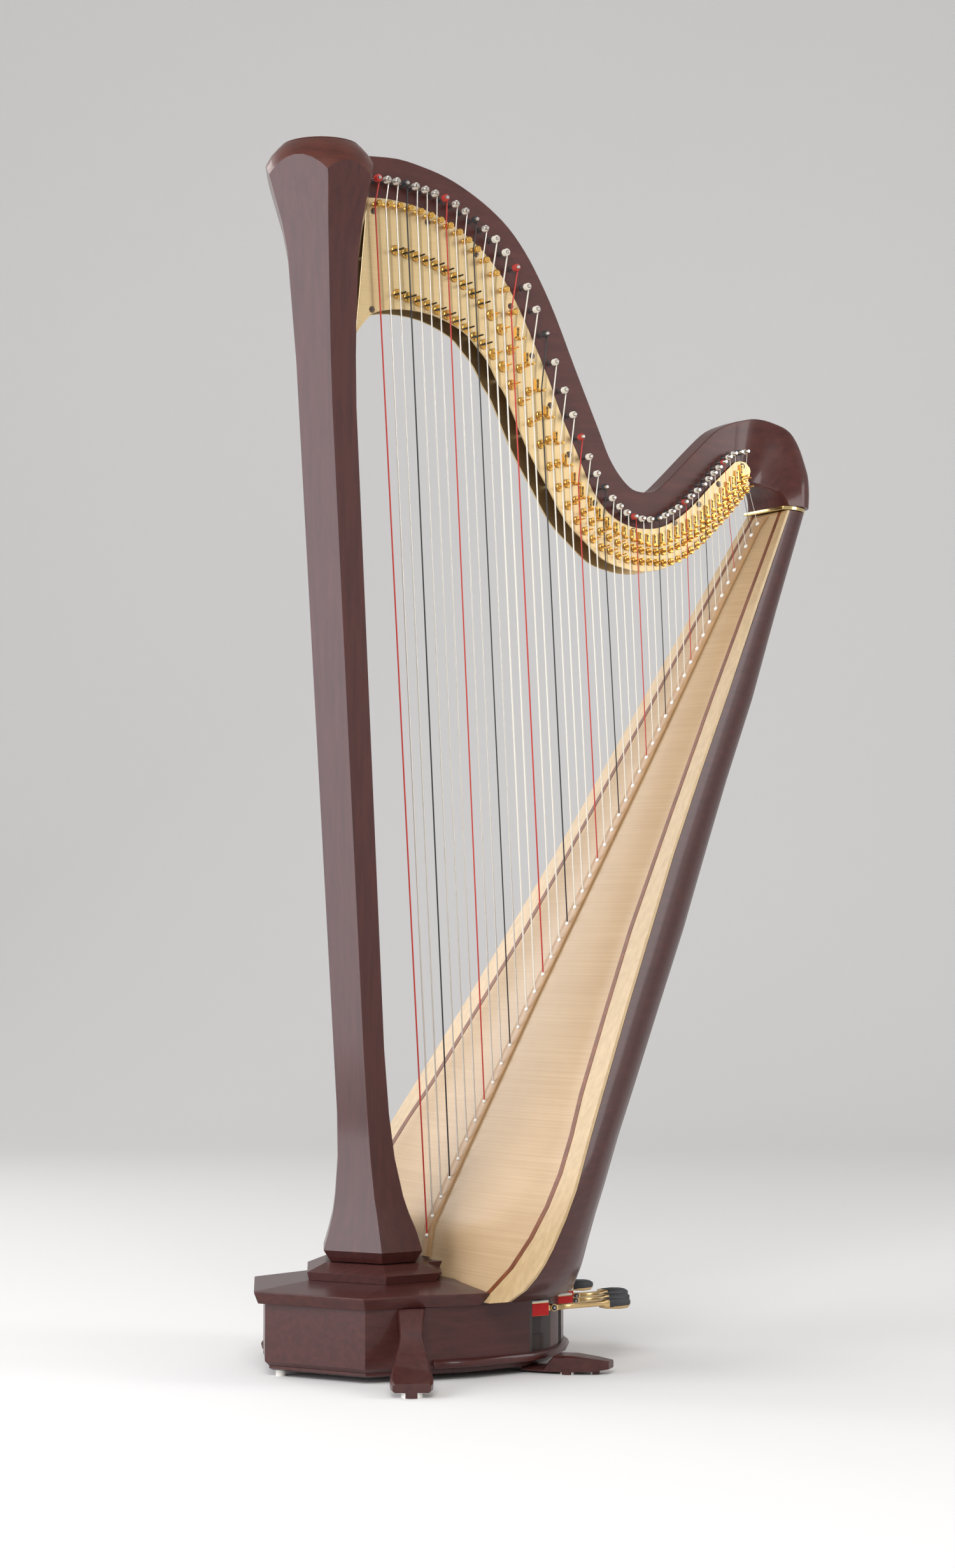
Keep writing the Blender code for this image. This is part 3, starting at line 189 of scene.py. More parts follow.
# Radius of the discs: string number, radius
DISC_RADIUS = ((3, 0.0077), (12, 0.0077), (13, 0.0087), (14, 0.0087), (16, 0.0071),
               (21, 0.0069), (28, 0.0059), (47, 0.0055))
BOARD_NORMAL = Vector((-1, 0, BOARD_SLOPE)).normalized()


def between(table, z):
    """Straight interpolation in a table of (z, value)."""
    for (z0, v0), (z1, v1) in zip(table, table[1:]):
        if z <= z1:
            return v0 + (v1 - v0) * max(0.0, z - z0) / (z1 - z0)
    return table[-1][1]


def along_row(row, number):
    """A smooth x and z for a string number between the given points."""
    last = len(row) - 1
    i = 0
    while i < last - 1 and number > row[i + 1][0]:
        i += 1
    n1, x1, z1 = row[i]
    n2, x2, z2 = row[i + 1]
    n0, x0, z0 = row[i - 1] if i else (2 * n1 - n2, 2 * x1 - x2, 2 * z1 - z2)
    n3, x3, z3 = row[i + 2] if i + 1 < last else (2 * n2 - n1, 2 * x2 - x1, 2 * z2 - z1)
    span = n2 - n1
    t = (number - n1) / span
    result = []
    for v0, v1, v2, v3 in ((x0, x1, x2, x3), (z0, z1, z2, z3)):
        m1 = (v2 - v0) / (n2 - n0) * span
        m2 = (v3 - v1) / (n3 - n1) * span
        result.append(v1 + t * (m1 + t * (3 * (v2 - v1) - 2 * m1 - m2
                                          + t * (2 * (v1 - v2) + m1 + m2))))
    return result


def smooth_line(points, steps):
    """Points on a smooth curve through the given points."""
    result = []
    for i in range(len(points) - 1):
        p0 = Vector(points[max(i - 1, 0)])
        p1 = Vector(points[i])
        p2 = Vector(points[i + 1])
        p3 = Vector(points[min(i + 2, len(points) - 1)])
        for k in range(steps):
            t = k / steps
            spot = 0.5 * ((2 * p1) + (p2 - p0) * t + (2 * p0 - 5 * p1 + 4 * p2 - p3) * t * t
                          + (3 * p1 - p0 - 3 * p2 + p3) * t ** 3)
            result.append(tuple(spot))
    result.append(tuple(points[-1]))
    return result


def board_point(z, y, lift):
    """A point on the soundboard's plane, lifted along its normal."""
    return Vector((BOARD_X + BOARD_SLOPE * z, y, z)) + BOARD_NORMAL * lift


def crown_at(z, y):
    """The board's rise at a height and a distance from the middle."""
    share = abs(y) / (between(STRIPE_WIDTH, z) - 0.006)
    return between(CROWN, z) * max(0.0, 1 - share * share)


# Materials

def new_material(name, color, roughness=0.5, metallic=0.0, coat=0.0, coat_roughness=0.1):
    """A Principled material and its shader node."""
    material = bpy.data.materials.new(name)
    material.use_nodes = True
    shader = material.node_tree.nodes["Principled BSDF"]
    shader.inputs["Base Color"].default_value = (*color, 1)
    shader.inputs["Roughness"].default_value = roughness
    shader.inputs["Metallic"].default_value = metallic
    shader.inputs["Coat Weight"].default_value = coat
    shader.inputs["Coat Roughness"].default_value = coat_roughness
    return material, shader


def node(material, kind, **values):
    """A new shader node with its inputs or settings filled in."""
    made = material.node_tree.nodes.new(kind)
    for key, value in values.items():
        if key in made.inputs:
            made.inputs[key].default_value = value
        else:
            setattr(made, key, value)
    return made


def link(material, source, output, target, socket):
    material.node_tree.links.new(source.outputs[output], target.inputs[socket])


def grain(material, stretch, scale=1.0, detail=6.0):
    """A noise in object space, stretched along the grain."""
    place = node(material, "ShaderNodeTexCoord")
    mapping = node(material, "ShaderNodeMapping")
    mapping.inputs["Scale"].default_value = stretch
    noise = node(material, "ShaderNodeTexNoise", Scale=scale, Detail=detail, Roughness=0.6)
    link(material, place, "Object", mapping, "Vector")
    link(material, mapping, "Vector", noise, "Vector")
    return noise


def ramp(material, source, stops, output="Fac"):
    """A colour ramp driven by a node's output."""
    made = node(material, "ShaderNodeValToRGB")
    elements = made.color_ramp.elements
    while len(elements) < len(stops):
        elements.new(0.5)
    for element, (place, color) in zip(elements, stops):
        element.position = place
        element.color = (*color, 1)
    link(material, source, output, made, "Fac")
    return made


def add_bump(material, shader, source, strength, distance, output="Fac"):
    bump = node(material, "ShaderNodeBump", Strength=strength, Distance=distance)
    link(material, source, output, bump, "Height")
    link(material, bump, "Normal", shader, "Normal")


def multiply(material, shader, tint, fleck):
    """Multiply two ramps into the shader's base colour."""
    mix = node(material, "ShaderNodeMix", data_type="RGBA", blend_type="MULTIPLY")
    mix.inputs["Factor"].default_value = 1.0
    material.node_tree.links.new(tint.outputs["Color"], mix.inputs[6])
    material.node_tree.links.new(fleck.outputs["Color"], mix.inputs[7])
    material.node_tree.links.new(mix.outputs[2], shader.inputs["Base Color"])


def lacquered_wood(name, stretch, dark, light, gloss=0.22):
    """Stained wood under a clear coat: banded grain with fine darker pores."""
    material, shader = new_material(name, light, 0.40, 0.0, gloss, 0.10)
    shader.inputs["Coat IOR"].default_value = 1.5
    shader.inputs["Specular IOR Level"].default_value = 0.28
    bands = grain(material, stretch, 3.0)
    tint = ramp(material, bands, ((0.30, dark), (0.72, light)))
    pores = grain(material, [3.2 * value for value in stretch], 9.0, 3.0)
    fleck = ramp(material, pores, ((0.38, (0.88, 0.87, 0.87)), (0.58, (1, 1, 1))))
    multiply(material, shader, tint, fleck)
    add_bump(material, shader, pores, 0.10, 0.0006)
    return material


def set_input(material, socket, value):
    """Set a socket of a material's own shader."""
    material.node_tree.nodes["Principled BSDF"].inputs[socket].default_value = value


DARK = (0.044, 0.0120, 0.0105)
LIGHT = (0.074, 0.0195, 0.0160)
WOOD_UP = lacquered_wood("mahogany_upright", (38, 38, 2.6), DARK, LIGHT, 0.40)
WOOD_LONG = lacquered_wood("mahogany_lengthwise", (3.4, 40, 40), DARK, LIGHT)
WOOD_NECK = lacquered_wood("mahogany_neck", (5.0, 46, 26),
                           (0.052, 0.0130, 0.0105), (0.088, 0.0220, 0.0165))
WOOD_CROWN = lacquered_wood("mahogany_crown", (9, 9, 30),
                            (0.060, 0.0140, 0.0090), (0.110, 0.0260, 0.0150))


def spruce():
    """Pale spruce with fine lines across the board and a faint cloud."""
    material, shader = new_material("spruce_board", (0.50, 0.33, 0.17), 0.42, 0.0, 0.15, 0.20)
    fine = grain(material, (0.5, 1.2, 300), 1.6, 3.0)
    wide = grain(material, (2.0, 5.0, 16), 1.5, 3.0)
    lines = ramp(material, fine, ((0.30, (0.435, 0.292, 0.158)), (0.66, (0.495, 0.345, 0.196))))
    cloud = ramp(material, wide, ((0.30, (0.93, 0.91, 0.89)), (0.70, (1.0, 1.0, 1.0))))
    multiply(material, shader, lines, cloud)
    add_bump(material, shader, fine, 0.04, 0.0003)
    return material


def pale_wood(name, dark, light, stretch):
    """A satin wood with one set of fine lines."""
    material, shader = new_material(name, light, 0.40, 0.0, 0.15, 0.20)
    fine = grain(material, stretch, 2.0, 5.0)
    tint = ramp(material, fine, ((0.34, dark), (0.66, light)))
    link(material, tint, "Color", shader, "Base Color")
    add_bump(material, shader, fine, 0.05, 0.0004)
    return material


def brushed(name, color, dark, roughness, stretch):
    """Metal with brushed lines in its tone, gloss and surface."""
    material, shader = new_material(name, color, roughness, 1.0)
    lines = grain(material, stretch, 4.0, 8.0)
    tint = ramp(material, lines, ((0.35, dark), (0.65, color)))
    link(material, tint, "Color", shader, "Base Color")
    rough = node(material, "ShaderNodeMapRange")
    rough.inputs["To Min"].default_value = roughness * 0.8
    rough.inputs["To Max"].default_value = roughness * 1.25
    link(material, lines, "Fac", rough, "Value")
    link(material, rough, "Result", shader, "Roughness")
    add_bump(material, shader, lines, 0.06, 0.0003)
    return material


def plain(name, color, roughness, metallic=0.0, coat=0.0, spots=0.10, size=900.0):
    """A finish with a faint unevenness in tone and gloss."""
    material, shader = new_material(name, color, roughness, metallic, coat)
    cloud = grain(material, (1, 1, 1), size, 4.0)
    low = [value * (1 - spots) for value in color]
    tint = ramp(material, cloud, ((0.35, low), (0.65, color)))
    link(material, tint, "Color", shader, "Base Color")
    add_bump(material, shader, cloud, 0.08, 0.0002)
    return material


SPRUCE = spruce()
MAPLE = pale_wood("maple_rim", (0.42, 0.285, 0.140), (0.50, 0.350, 0.180), (60, 60, 5))
RIB = pale_wood("centre_rib", (0.36, 0.205, 0.090), (0.44, 0.260, 0.120), (60, 60, 5))
INLAY = pale_wood("stripe_inlay", (0.110, 0.030, 0.010), (0.190, 0.056, 0.020), (60, 60, 8))
set_input(INLAY, "Specular IOR Level", 0.2)
ACTION = brushed("action_brass", (0.62, 0.47, 0.26), (0.55, 0.41, 0.22), 0.42,
                 (2.0, 1.0, 260))
GOLD = plain("gold_fittings", (0.80, 0.47, 0.12), 0.22, 1.0)
BRASS = plain("polished_brass", (0.88, 0.66, 0.30), 0.18, 1.0)
PEDAL_BRASS = plain("pedal_brass", (0.72, 0.50, 0.24), 0.30, 1.0)
NICKEL = plain("nickel_pins", (0.74, 0.71, 0.68), 0.20, 1.0)
STEEL = plain("plain_steel", (0.50, 0.50, 0.50), 0.35, 1.0)
SCREW = plain("dark_screws", (0.16, 0.12, 0.09), 0.35, 1.0)
# Black for the disc sleeves, pin bushings and pivot washers, and painted shade in the screw slots
BLACK = plain("black_parts_and_slot_shade", (0.012, 0.012, 0.012), 0.45)
RUBBER = plain("rubber_caps", (0.035, 0.036, 0.040), 0.62, 0.0, 0.0, 0.2, 1500.0)
RED_FELT = plain("red_felt", (0.62, 0.022, 0.020), 0.95, 0.0, 0.0, 0.35, 1600.0)
WHITE_FELT = plain("white_felt", (0.78, 0.76, 0.70), 0.95, 0.0, 0.0, 0.15, 1600.0)
GLIDE = plain("glides", (0.78, 0.76, 0.70), 0.35)
EYELET = plain("white_eyelets", (0.84, 0.82, 0.76), 0.35)
GUT = plain("gut_strings", (0.80, 0.76, 0.66), 0.40)
RED_STRING = plain("red_strings", (0.50, 0.030, 0.020), 0.40)
DARK_STRING = plain("dark_strings", (0.020, 0.020, 0.023), 0.40)
WIRE = plain("wound_wire", (0.72, 0.68, 0.62), 0.34, 1.0)
# Near-black brown for the walls inside the pedal slots: painted shade of the recesses
SLOT_SHADE = brushed("slot_painted_shade", (0.034, 0.016, 0.013), (0.010, 0.005, 0.004), 0.5,
                      (90, 90, 4))
set_input(SLOT_SHADE, "Metallic", 0.0)


# Shapes

def put(name, mesh, materials, body="harp", replaces=(), smooth=35, bevel=0.0, segments=2):
    """Make a scene piece of a bmesh in the frame of the numbers above."""
    bmesh.ops.translate(mesh, verts=mesh.verts, vec=(-ORIGIN_X, 0, 0))
    bmesh.ops.recalc_face_normals(mesh, faces=mesh.faces)
    data = bpy.data.meshes.new(name)
    mesh.to_mesh(data)
    mesh.free()
    made = bpy.data.objects.new(name, data)
    bpy.context.scene.collection.objects.link(made)
    for material in materials if isinstance(materials, (list, tuple)) else [materials]:
        data.materials.append(material)
    finish_piece(made, body, replaces, smooth, bevel, segments)
    return made


def finish_piece(made, body, replaces, smooth, bevel, segments):
    """Shade a piece, round its edges where asked, and tie it to its body and nodes."""
    if bevel:
        modifier = made.modifiers.new("edges", "BEVEL")
        modifier.width = bevel
        modifier.segments = segments
        modifier.limit_method = "ANGLE"
        modifier.angle_limit = math.radians(smooth)
    made.data.shade_smooth()
    if bevel:
        normals = made.modifiers.new("weighted", "WEIGHTED_NORMAL")
        normals.keep_sharp = False
    else:
        made.data.set_sharp_from_angle(angle=math.radians(smooth))
    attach(made, body)
    for name in replaces:
        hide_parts(name)


def dress(name, material, body="harp", smooth=35, bevel=0.0, segments=2, weld=0.00002):
    """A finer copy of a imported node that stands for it."""
    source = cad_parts[name]
    data = source.data.copy()
    data.transform(source.matrix_world)
    mesh = bmesh.new()
    mesh.from_mesh(data)
    bmesh.ops.remove_doubles(mesh, verts=mesh.verts, dist=weld)
    bmesh.ops.dissolve_limit(mesh, angle_limit=math.radians(0.6), verts=mesh.verts,
                             edges=mesh.edges)
    mesh.to_mesh(data)
    mesh.free()
    made = bpy.data.objects.new(name + "_look", data)
    bpy.context.scene.collection.objects.link(made)
    data.materials.clear()
    data.materials.append(material)
    finish_piece(made, body, (name,), smooth, bevel, segments)
    return made


def paint(name, material):
    """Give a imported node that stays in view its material."""
    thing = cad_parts[name]
    for slot in thing.material_slots:
        slot.link = "OBJECT"
        slot.material = material


def loft(mesh, rings, closed=True, material=0):
    """A skin over rings of equally many points, with its two ends closed."""
    rows = [[mesh.verts.new(point) for point in ring] for ring in rings]
    count = len(rows[0])
    for low, high in zip(rows, rows[1:]):
        for i in range(count):
            j = (i + 1) % count
            mesh.faces.new((low[i], low[j], high[j], high[i])).material_index = material
    if closed:
        mesh.faces.new(rows[0][::-1]).material_index = material
        mesh.faces.new(rows[-1]).material_index = material
    return rows


def turned(mesh, start, end, profile, sides=16, material=0):
    """A turned shape: profile is (share of the way, radius)."""
    start = Vector(start)
    end = Vector(end)
    axis = (end - start).normalized()
    side = axis.cross(Vector((0, 1, 0)) if abs(axis.y) < 0.9 else Vector((1, 0, 0))).normalized()
    other = axis.cross(side)
    rings = []
    for share, radius in profile:
        centre = start.lerp(end, share)
        rings.append([centre + radius * (math.cos(2 * math.pi * i / sides) * side
                                         + math.sin(2 * math.pi * i / sides) * other)
                      for i in range(sides)])
    loft(mesh, rings, True, material)


def rod(mesh, start, end, radius, sides=12):
    turned(mesh, start, end, ((0, radius), (1, radius)), sides)


def box(mesh, low, high, material=0):
    x0, y0, z0 = low
    x1, y1, z1 = high
    loft(mesh, [[(x0, y0, z), (x1, y0, z), (x1, y1, z), (x0, y1, z)] for z in (z0, z1)], True,
         material)


def slab_xz(mesh, outline, y0, y1):
    loft(mesh, [[(x, y, z) for x, z in outline] for y in (y0, y1)])


def set_camera():
    data = bpy.data.cameras.new("camera")
    camera = bpy.data.objects.new("camera", data)
    bpy.context.scene.collection.objects.link(camera)
    x, y, z = CAMERA_AT
    camera.location = (x - ORIGIN_X, y, z)
    back = Vector((math.sin(CAMERA_TURN) * math.cos(CAMERA_TILT),
                   -math.cos(CAMERA_TURN) * math.cos(CAMERA_TILT), math.sin(CAMERA_TILT)))
    camera.rotation_euler = back.to_track_quat("Z", "Y").to_euler()
    data.sensor_fit = "VERTICAL"
    data.sensor_height = CAMERA_SENSOR
    data.lens = CAMERA_LENS
    data.clip_end = CAMERA_FAR
    bpy.context.scene.camera = camera


def add_lamp(name, place, aim, size, power, color):
    data = bpy.data.lights.new(name, "AREA")
    data.shape = "RECTANGLE"
    data.size, data.size_y = size
    data.energy = power
    data.color = color
    lamp = bpy.data.objects.new(name, data)
    bpy.context.scene.collection.objects.link(lamp)
    lamp.location = place
    lamp.rotation_euler = (Vector(place) - Vector(aim)).to_track_quat("Z", "Y").to_euler()


def set_stage():
    world = bpy.data.worlds.new("studio")
    bpy.context.scene.world = world
    world.use_nodes = True
    background = world.node_tree.nodes["Background"]
    background.inputs["Color"].default_value = (WORLD_GREY, WORLD_GREY, WORLD_GREY, 1)
    background.inputs["Strength"].default_value = WORLD_STRENGTH
    for lamp in LAMPS:
        add_lamp(*lamp)
    add_floor()
    bpy.context.scene.view_settings.view_transform = "Standard"


def add_floor():
    """A pale floor that sweeps up into the backdrop behind the harp."""
    away = Vector((-math.sin(CAMERA_TURN), math.cos(CAMERA_TURN), 0))
    across = Vector((away.y, -away.x, 0))
    profile = [(FLOOR_FRONT, 0.0), (FLOOR_END, 0.0)]
    for i in range(1, SWEEP_STEPS + 1):
        turn = math.pi / 2 * i / SWEEP_STEPS
        profile.append((FLOOR_END + SWEEP * math.sin(turn), SWEEP * (1 - math.cos(turn))))
    profile.append((FLOOR_END + SWEEP, BACKDROP_HIGH))
    mesh = bmesh.new()
    rows = []
    for reach, height in profile:
        rows.append([mesh.verts.new(away * reach + across * side + Vector((0, 0, height)))
                     for side in (-FLOOR_SIDE, FLOOR_SIDE)])
    for low, high in zip(rows, rows[1:]):
        mesh.faces.new((low[0], low[1], high[1], high[0]))
    data = bpy.data.meshes.new("floor")
    mesh.to_mesh(data)
    mesh.free()
    data.shade_smooth()
    floor = bpy.data.objects.new("floor", data)
    bpy.context.scene.collection.objects.link(floor)
    material = new_material("pale_floor", (0.80, 0.79, 0.78), 0.7)[0]
    data.materials.append(material)


# Pieces

def recolour(made, material, test):
    """Give a piece's faces that pass a test another material."""
    made.data.materials.append(material)
    last = len(made.data.materials) - 1
    for face in made.data.polygons:
        if test(face):
            face.material_index = last


def in_slot(point):
    """Whether a point lies on the inner walls of a pedal slot, which get painted shade."""
    for _, y, fold, _ in PEDALS:
        if point.z > SLOT_STEP_Z:
            near, far = -SLOT_HIGH, SLOT_HIGH
        else:
            near, far = SLOT_LOW if y < 0 else (-SLOT_LOW[1], -SLOT_LOW[0])
        if (fold - 0.075 < point.x + ORIGIN_X < fold + 0.013 and 0.024 < point.z < 0.105
                and near - 0.0002 < point.y - y < far + 0.0002):
            return True
    return False


def dress_base():
    """The base with painted shade on the walls inside its pedal slots, and pale glides."""
    wall = dress("base_wall", WOOD_LONG, bevel=0.0008, smooth=20)
    recolour(wall, SLOT_SHADE, lambda face: in_slot(face.center))
    recolour(dress("base_floor", WOOD_LONG), GLIDE, lambda face: face.center.z < 0.0088)
    dress("base_top", WOOD_LONG, bevel=0.0010)
    dress("base_lid", WOOD_LONG, bevel=0.0016, smooth=4, segments=3)
    dress("base_bead", WOOD_LONG, smooth=60)
    dress("column_plinth", WOOD_LONG, bevel=0.0016, smooth=20, segments=3)
    for side in ("near", "far"):
        leg = dress("front_leg_" + side, WOOD_UP, smooth=30, bevel=0.0010)
        recolour(leg, GLIDE, lambda face: face.center.z < 0.0050)
        foot = dress("rear_foot_" + side, WOOD_LONG, smooth=30, bevel=0.0012)
        recolour(foot, GLIDE, lambda face: face.center.z < 0.0026)


def dress_column():
    column = dress("column", WOOD_UP, smooth=24, bevel=0.0018, segments=3)
    recolour(column, WOOD_CROWN, lambda face: face.center.z > 1.722 and face.normal.z > 0.15)
    dress("crown_cap", WOOD_CROWN, smooth=40)


def make_neck():
    """The flat part of the neck, with its lower edge hidden between the plates."""
    low = smooth_line(PLATE_TOP, 3)
    outline = smooth_line(NECK_TOP, 3) + [(0.8840, 1.3580), (0.868, 1.350)]
    outline += [(x, z - NECK_BELOW_PLATE_TOP) for x, z in low[::-1]]
    mesh = bmesh.new()
    slab_xz(mesh, outline, NECK_Y - NECK_HALF, NECK_Y + NECK_HALF)
    put("neck_wood", mesh, WOOD_NECK, replaces=("neck",), smooth=40, bevel=0.0030, segments=3)


def make_shoulder():
    """The shoulder, whose sections turn from the neck's rectangle into half rounds."""
    mesh = bmesh.new()
    rings = []
    for inner_x, inner_z, outer_x, outer_z, y, half, bend in smooth_line(SHOULDER, 4):
        ring = []
        power = 2 + 14 * (1 - bend) ** 2 + 40 * (1 - bend) ** 6
        base = 0.06 + 0.39 * bend
        for k in range(41):
            turn = math.pi * k / 40
            side = -math.copysign(abs(math.cos(turn)) ** (2 / power), math.cos(turn))
            along = base + (1 - base) * abs(math.sin(turn)) ** (2 / power)
            ring.append((inner_x + (outer_x - inner_x) * along, y + half * side,
                         inner_z + (outer_z - inner_z) * along))
        for side in (1, 0.8, 0, -0.8, -1):
            along = 0.04 if abs(side) == 1 else 0.0
            ring.append((inner_x + (outer_x - inner_x) * along, y + half * side,
                         inner_z + (outer_z - inner_z) * along))
        rings.append(ring)
    loft(mesh, rings)
    put("neck_shoulder", mesh, WOOD_NECK, smooth=50, bevel=0.0006)


def make_tuning_pins():
    """Pins with a square far end for the key, and their bushings."""
    mesh = bmesh.new()
    for number in range(1, STRINGS + 1):
        x, z = along_row(PIN_ROW, number)
        turned(mesh, (x, PIN_NEAR_Y, z), (x, NECK_Y - NECK_HALF + 0.001, z),
               ((0, 0.0022), (0.04, PIN_RADIUS), (1, PIN_RADIUS)), 16)
        turned(mesh, (x, NECK_Y + NECK_HALF - 0.001, z), (x, PIN_FAR_Y, z),
               ((0, 0.0032), (0.3, 0.0032), (0.35, 0.0024), (1, 0.0022)), 4)
    put("tuning_pins", mesh, NICKEL, smooth=40)
    mesh = bmesh.new()
    for number in range(1, STRINGS + 1):
        x, z = along_row(PIN_ROW, number)
        y = NECK_Y - NECK_HALF
        turned(mesh, (x, y + 0.0002, z), (x, y - 0.0007, z), ((0, 0.0050), (1, 0.0046)), 20)
    put("pin_bushings", mesh, BLACK, smooth=40)


def string_top(number):
    """Where a string leaves its bridge pin or the bar of its nut."""
    x, z = along_row(NUT_ROW, number)
    if number <= BRIDGES:
        return x - 0.0082, z
    return x + 0.0088, z - 0.0080


def disc_places():
    """Number, row, x, z and lean of the string for each disc, which sits on its string."""
    places = []
    for number in range(3, STRINGS + 1):
        nut_z = along_row(NUT_ROW, number)[1]
        top_x, top_z = string_top(number)
        foot_x, foot_z = along_row(FOOT_ROW, number)
        length = nut_z - foot_z
        lean = (top_x - foot_x) / (top_z - foot_z)
        if number < 26:
            share = 0.0445 + 0.0115 * min(1.0, (number - 3) / 9)
            drops = (share * length, (2.0 if number < 12 else 1.95) * share * length)
        else:
            drop = nut_z - along_row(SHARP_ROW, number)[1]
            drops = (0.52 * drop, drop)
        for row, drop in zip(("natural", "sharp"), drops):
            z = nut_z - drop
            places.append((number, row, top_x - lean * (top_z - z), z, lean))
    return places


def plate_outline():
    return smooth_line(PLATE_TOP, 3) + list(PLATE_END) + smooth_line(PLATE_LOW, 3)


def add_disc(mesh, number, x, z, lean):
    """A gold disc with two fork pins, black sleeved in the bass."""
    y = FACE_Y - 0.0003
    size = between(DISC_RADIUS, number)
    turned(mesh, (x, y, z), (x, y - 0.0023, z),
           ((0, size - 0.0004), (0.25, size), (0.8, size), (1, size - 0.0006)), 28)
    turned(mesh, (x, y - 0.0023, z), (x, y - 0.0025, z), ((0, 0.0020), (1, 0.0018)), 14, 2)
    sleeved = number <= SLEEVED
    across = Vector((1, 0, -lean)).normalized()
    across.rotate(Matrix.Rotation(math.radians(-15 if sleeved else -20), 3, "Y"))
    across *= size * (0.87 if sleeved else 0.82)
    length = 0.0115 if sleeved else 0.0120
    wide = 0.00145 if sleeved else 0.00115
    for sign in (-1, 1):
        foot = Vector((x, y - 0.0020, z)) + across * sign
        turned(mesh, foot, foot + Vector((0, -length, 0)),
               ((0, wide), (0.85, wide * 0.92), (1, wide * 0.55)), 12, 1 if sleeved else 0)


def add_bridge_pin(mesh, x, z):
    """A round pin with a flange at its foot and a grooved head; the string lies on its left."""
    turned(mesh, (x, FACE_Y + 0.001, z), (x, -0.0125, z),
           ((0, 0.0046), (0.13, 0.0046), (0.17, 0.0029), (0.66, 0.0029), (0.70, 0.0048),
            (0.78, 0.0050), (0.82, 0.0043), (0.86, 0.0050), (0.93, 0.0050), (1, 0.0040)), 24)


def add_nut(mesh, x, z):
    """A small plate with two dark screws and a bar at its foot that the string bears on."""
    box(mesh, (x + 0.0017, 0.0003, z - 0.0058), (x + 0.0081, FACE_Y + 0.001, z + 0.0096))
    bar = x + 0.0117
    box(mesh, (x + 0.0042, 0.0012, z - 0.0098), (bar + 0.0012, FACE_Y + 0.001, z - 0.0054))
    turned(mesh, (bar, FACE_Y, z - 0.0080), (bar, -0.0085, z - 0.0080),
           ((0, 0.0015), (0.84, 0.0015), (0.87, 0.0025), (0.96, 0.0025), (1, 0.0018)), 16)
    middle = x + 0.0049
    for height in (z + 0.0064, z - 0.0022):
        turned(mesh, (middle, 0.0006, height), (middle, -0.0002, height),
               ((0, 0.0019), (1, 0.0017)), 14, 1)
    box(mesh, (middle - 0.0007, 0.0000, z - 0.0022), (middle + 0.0007, 0.0010, z + 0.0064), 1)


def make_plates():
    """Both action plates, their spacers and slotted screws."""
    far = NECK_Y + PLATE_HALF - PLATE_THICK
    for side, low, node_name in (("near", FACE_Y, "action_plate_left"),
                                 ("far", far, "action_plate_right")):
        mesh = bmesh.new()
        slab_xz(mesh, plate_outline(), low, low + PLATE_THICK)
        put("plate_" + side, mesh, ACTION, replaces=(node_name,), bevel=0.0006, smooth=40)
    mesh = bmesh.new()
    for x, z in SPACERS:
        rod(mesh, (x, FACE_Y + 0.002, z), (x, NECK_Y + PLATE_HALF - 0.002, z), SPACER_RADIUS)
    put("plate_spacers", mesh, STEEL)
    mesh = bmesh.new()
    for x, z in SCREWS:
        for y, out in ((FACE_Y, -1), (NECK_Y + PLATE_HALF, 1)):
            turned(mesh, (x, y - out * 0.0005, z), (x, y + out * 0.0011, z),
                   ((0, 0.0050), (0.6, 0.0048), (1, 0.0030)), 20)
            # The slot in each head is a raised black bar: painted shade of the groove
            slot = sorted((y + out * 0.0008, y + out * 0.0012))
            box(mesh, (x - 0.0040, slot[0], z - 0.0005), (x + 0.0040, slot[1], z + 0.0005), 1)
    put("plate_screws", mesh, [SCREW, BLACK])


def make_action():
    """Bridge pins, nuts and discs; the discs of one octave ride on bodies of their own."""
    mesh = bmesh.new()
    for number in range(1, STRINGS + 1):
        x, z = along_row(NUT_ROW, number)
        if number <= BRIDGES:
            add_bridge_pin(mesh, x - 0.0040, z)
        else:
            add_nut(mesh, x, z)
    put("bridge_nuts", mesh, [GOLD, SCREW], bevel=0.0003, smooth=40)
    mesh = bmesh.new()
    for number, row, x, z, lean in disc_places():
        if LIVE_DISCS[0] <= number <= LIVE_DISCS[1]:
            one = bmesh.new()
            add_disc(one, number, x, z, lean)
            name = "disc_" + OCTAVE[number - LIVE_DISCS[0]] + "_" + row
            put(name + "_look", one, [GOLD, BLACK, SCREW], body=name, replaces=(name,))
        else:
            add_disc(mesh, number, x, z, lean)
    put("static_discs", mesh, [GOLD, BLACK, SCREW])


def seat_on_rib(height):
    """The point on top of the centre rib at a height."""
    low = height
    for _ in range(4):
        low = height - (between(CROWN, low) + RIB_HIGH) * BOARD_NORMAL.z
    return board_point(low, 0, between(CROWN, low) + RIB_HIGH)


def string_look(number):
    """Radius and material: C red, F dark, the lowest ones wound."""
    letter = OCTAVE[(number - 1) % len(OCTAVE)]
    if number <= WOUND:
        radius = 0.00125 - 0.00002 * number
    else:
        radius = 0.00122 - 0.000024 * (number - WOUND - 1)
    colours = {"C": RED_STRING, "F": DARK_STRING}
    return radius, colours.get(letter, WIRE if number <= WOUND else GUT)


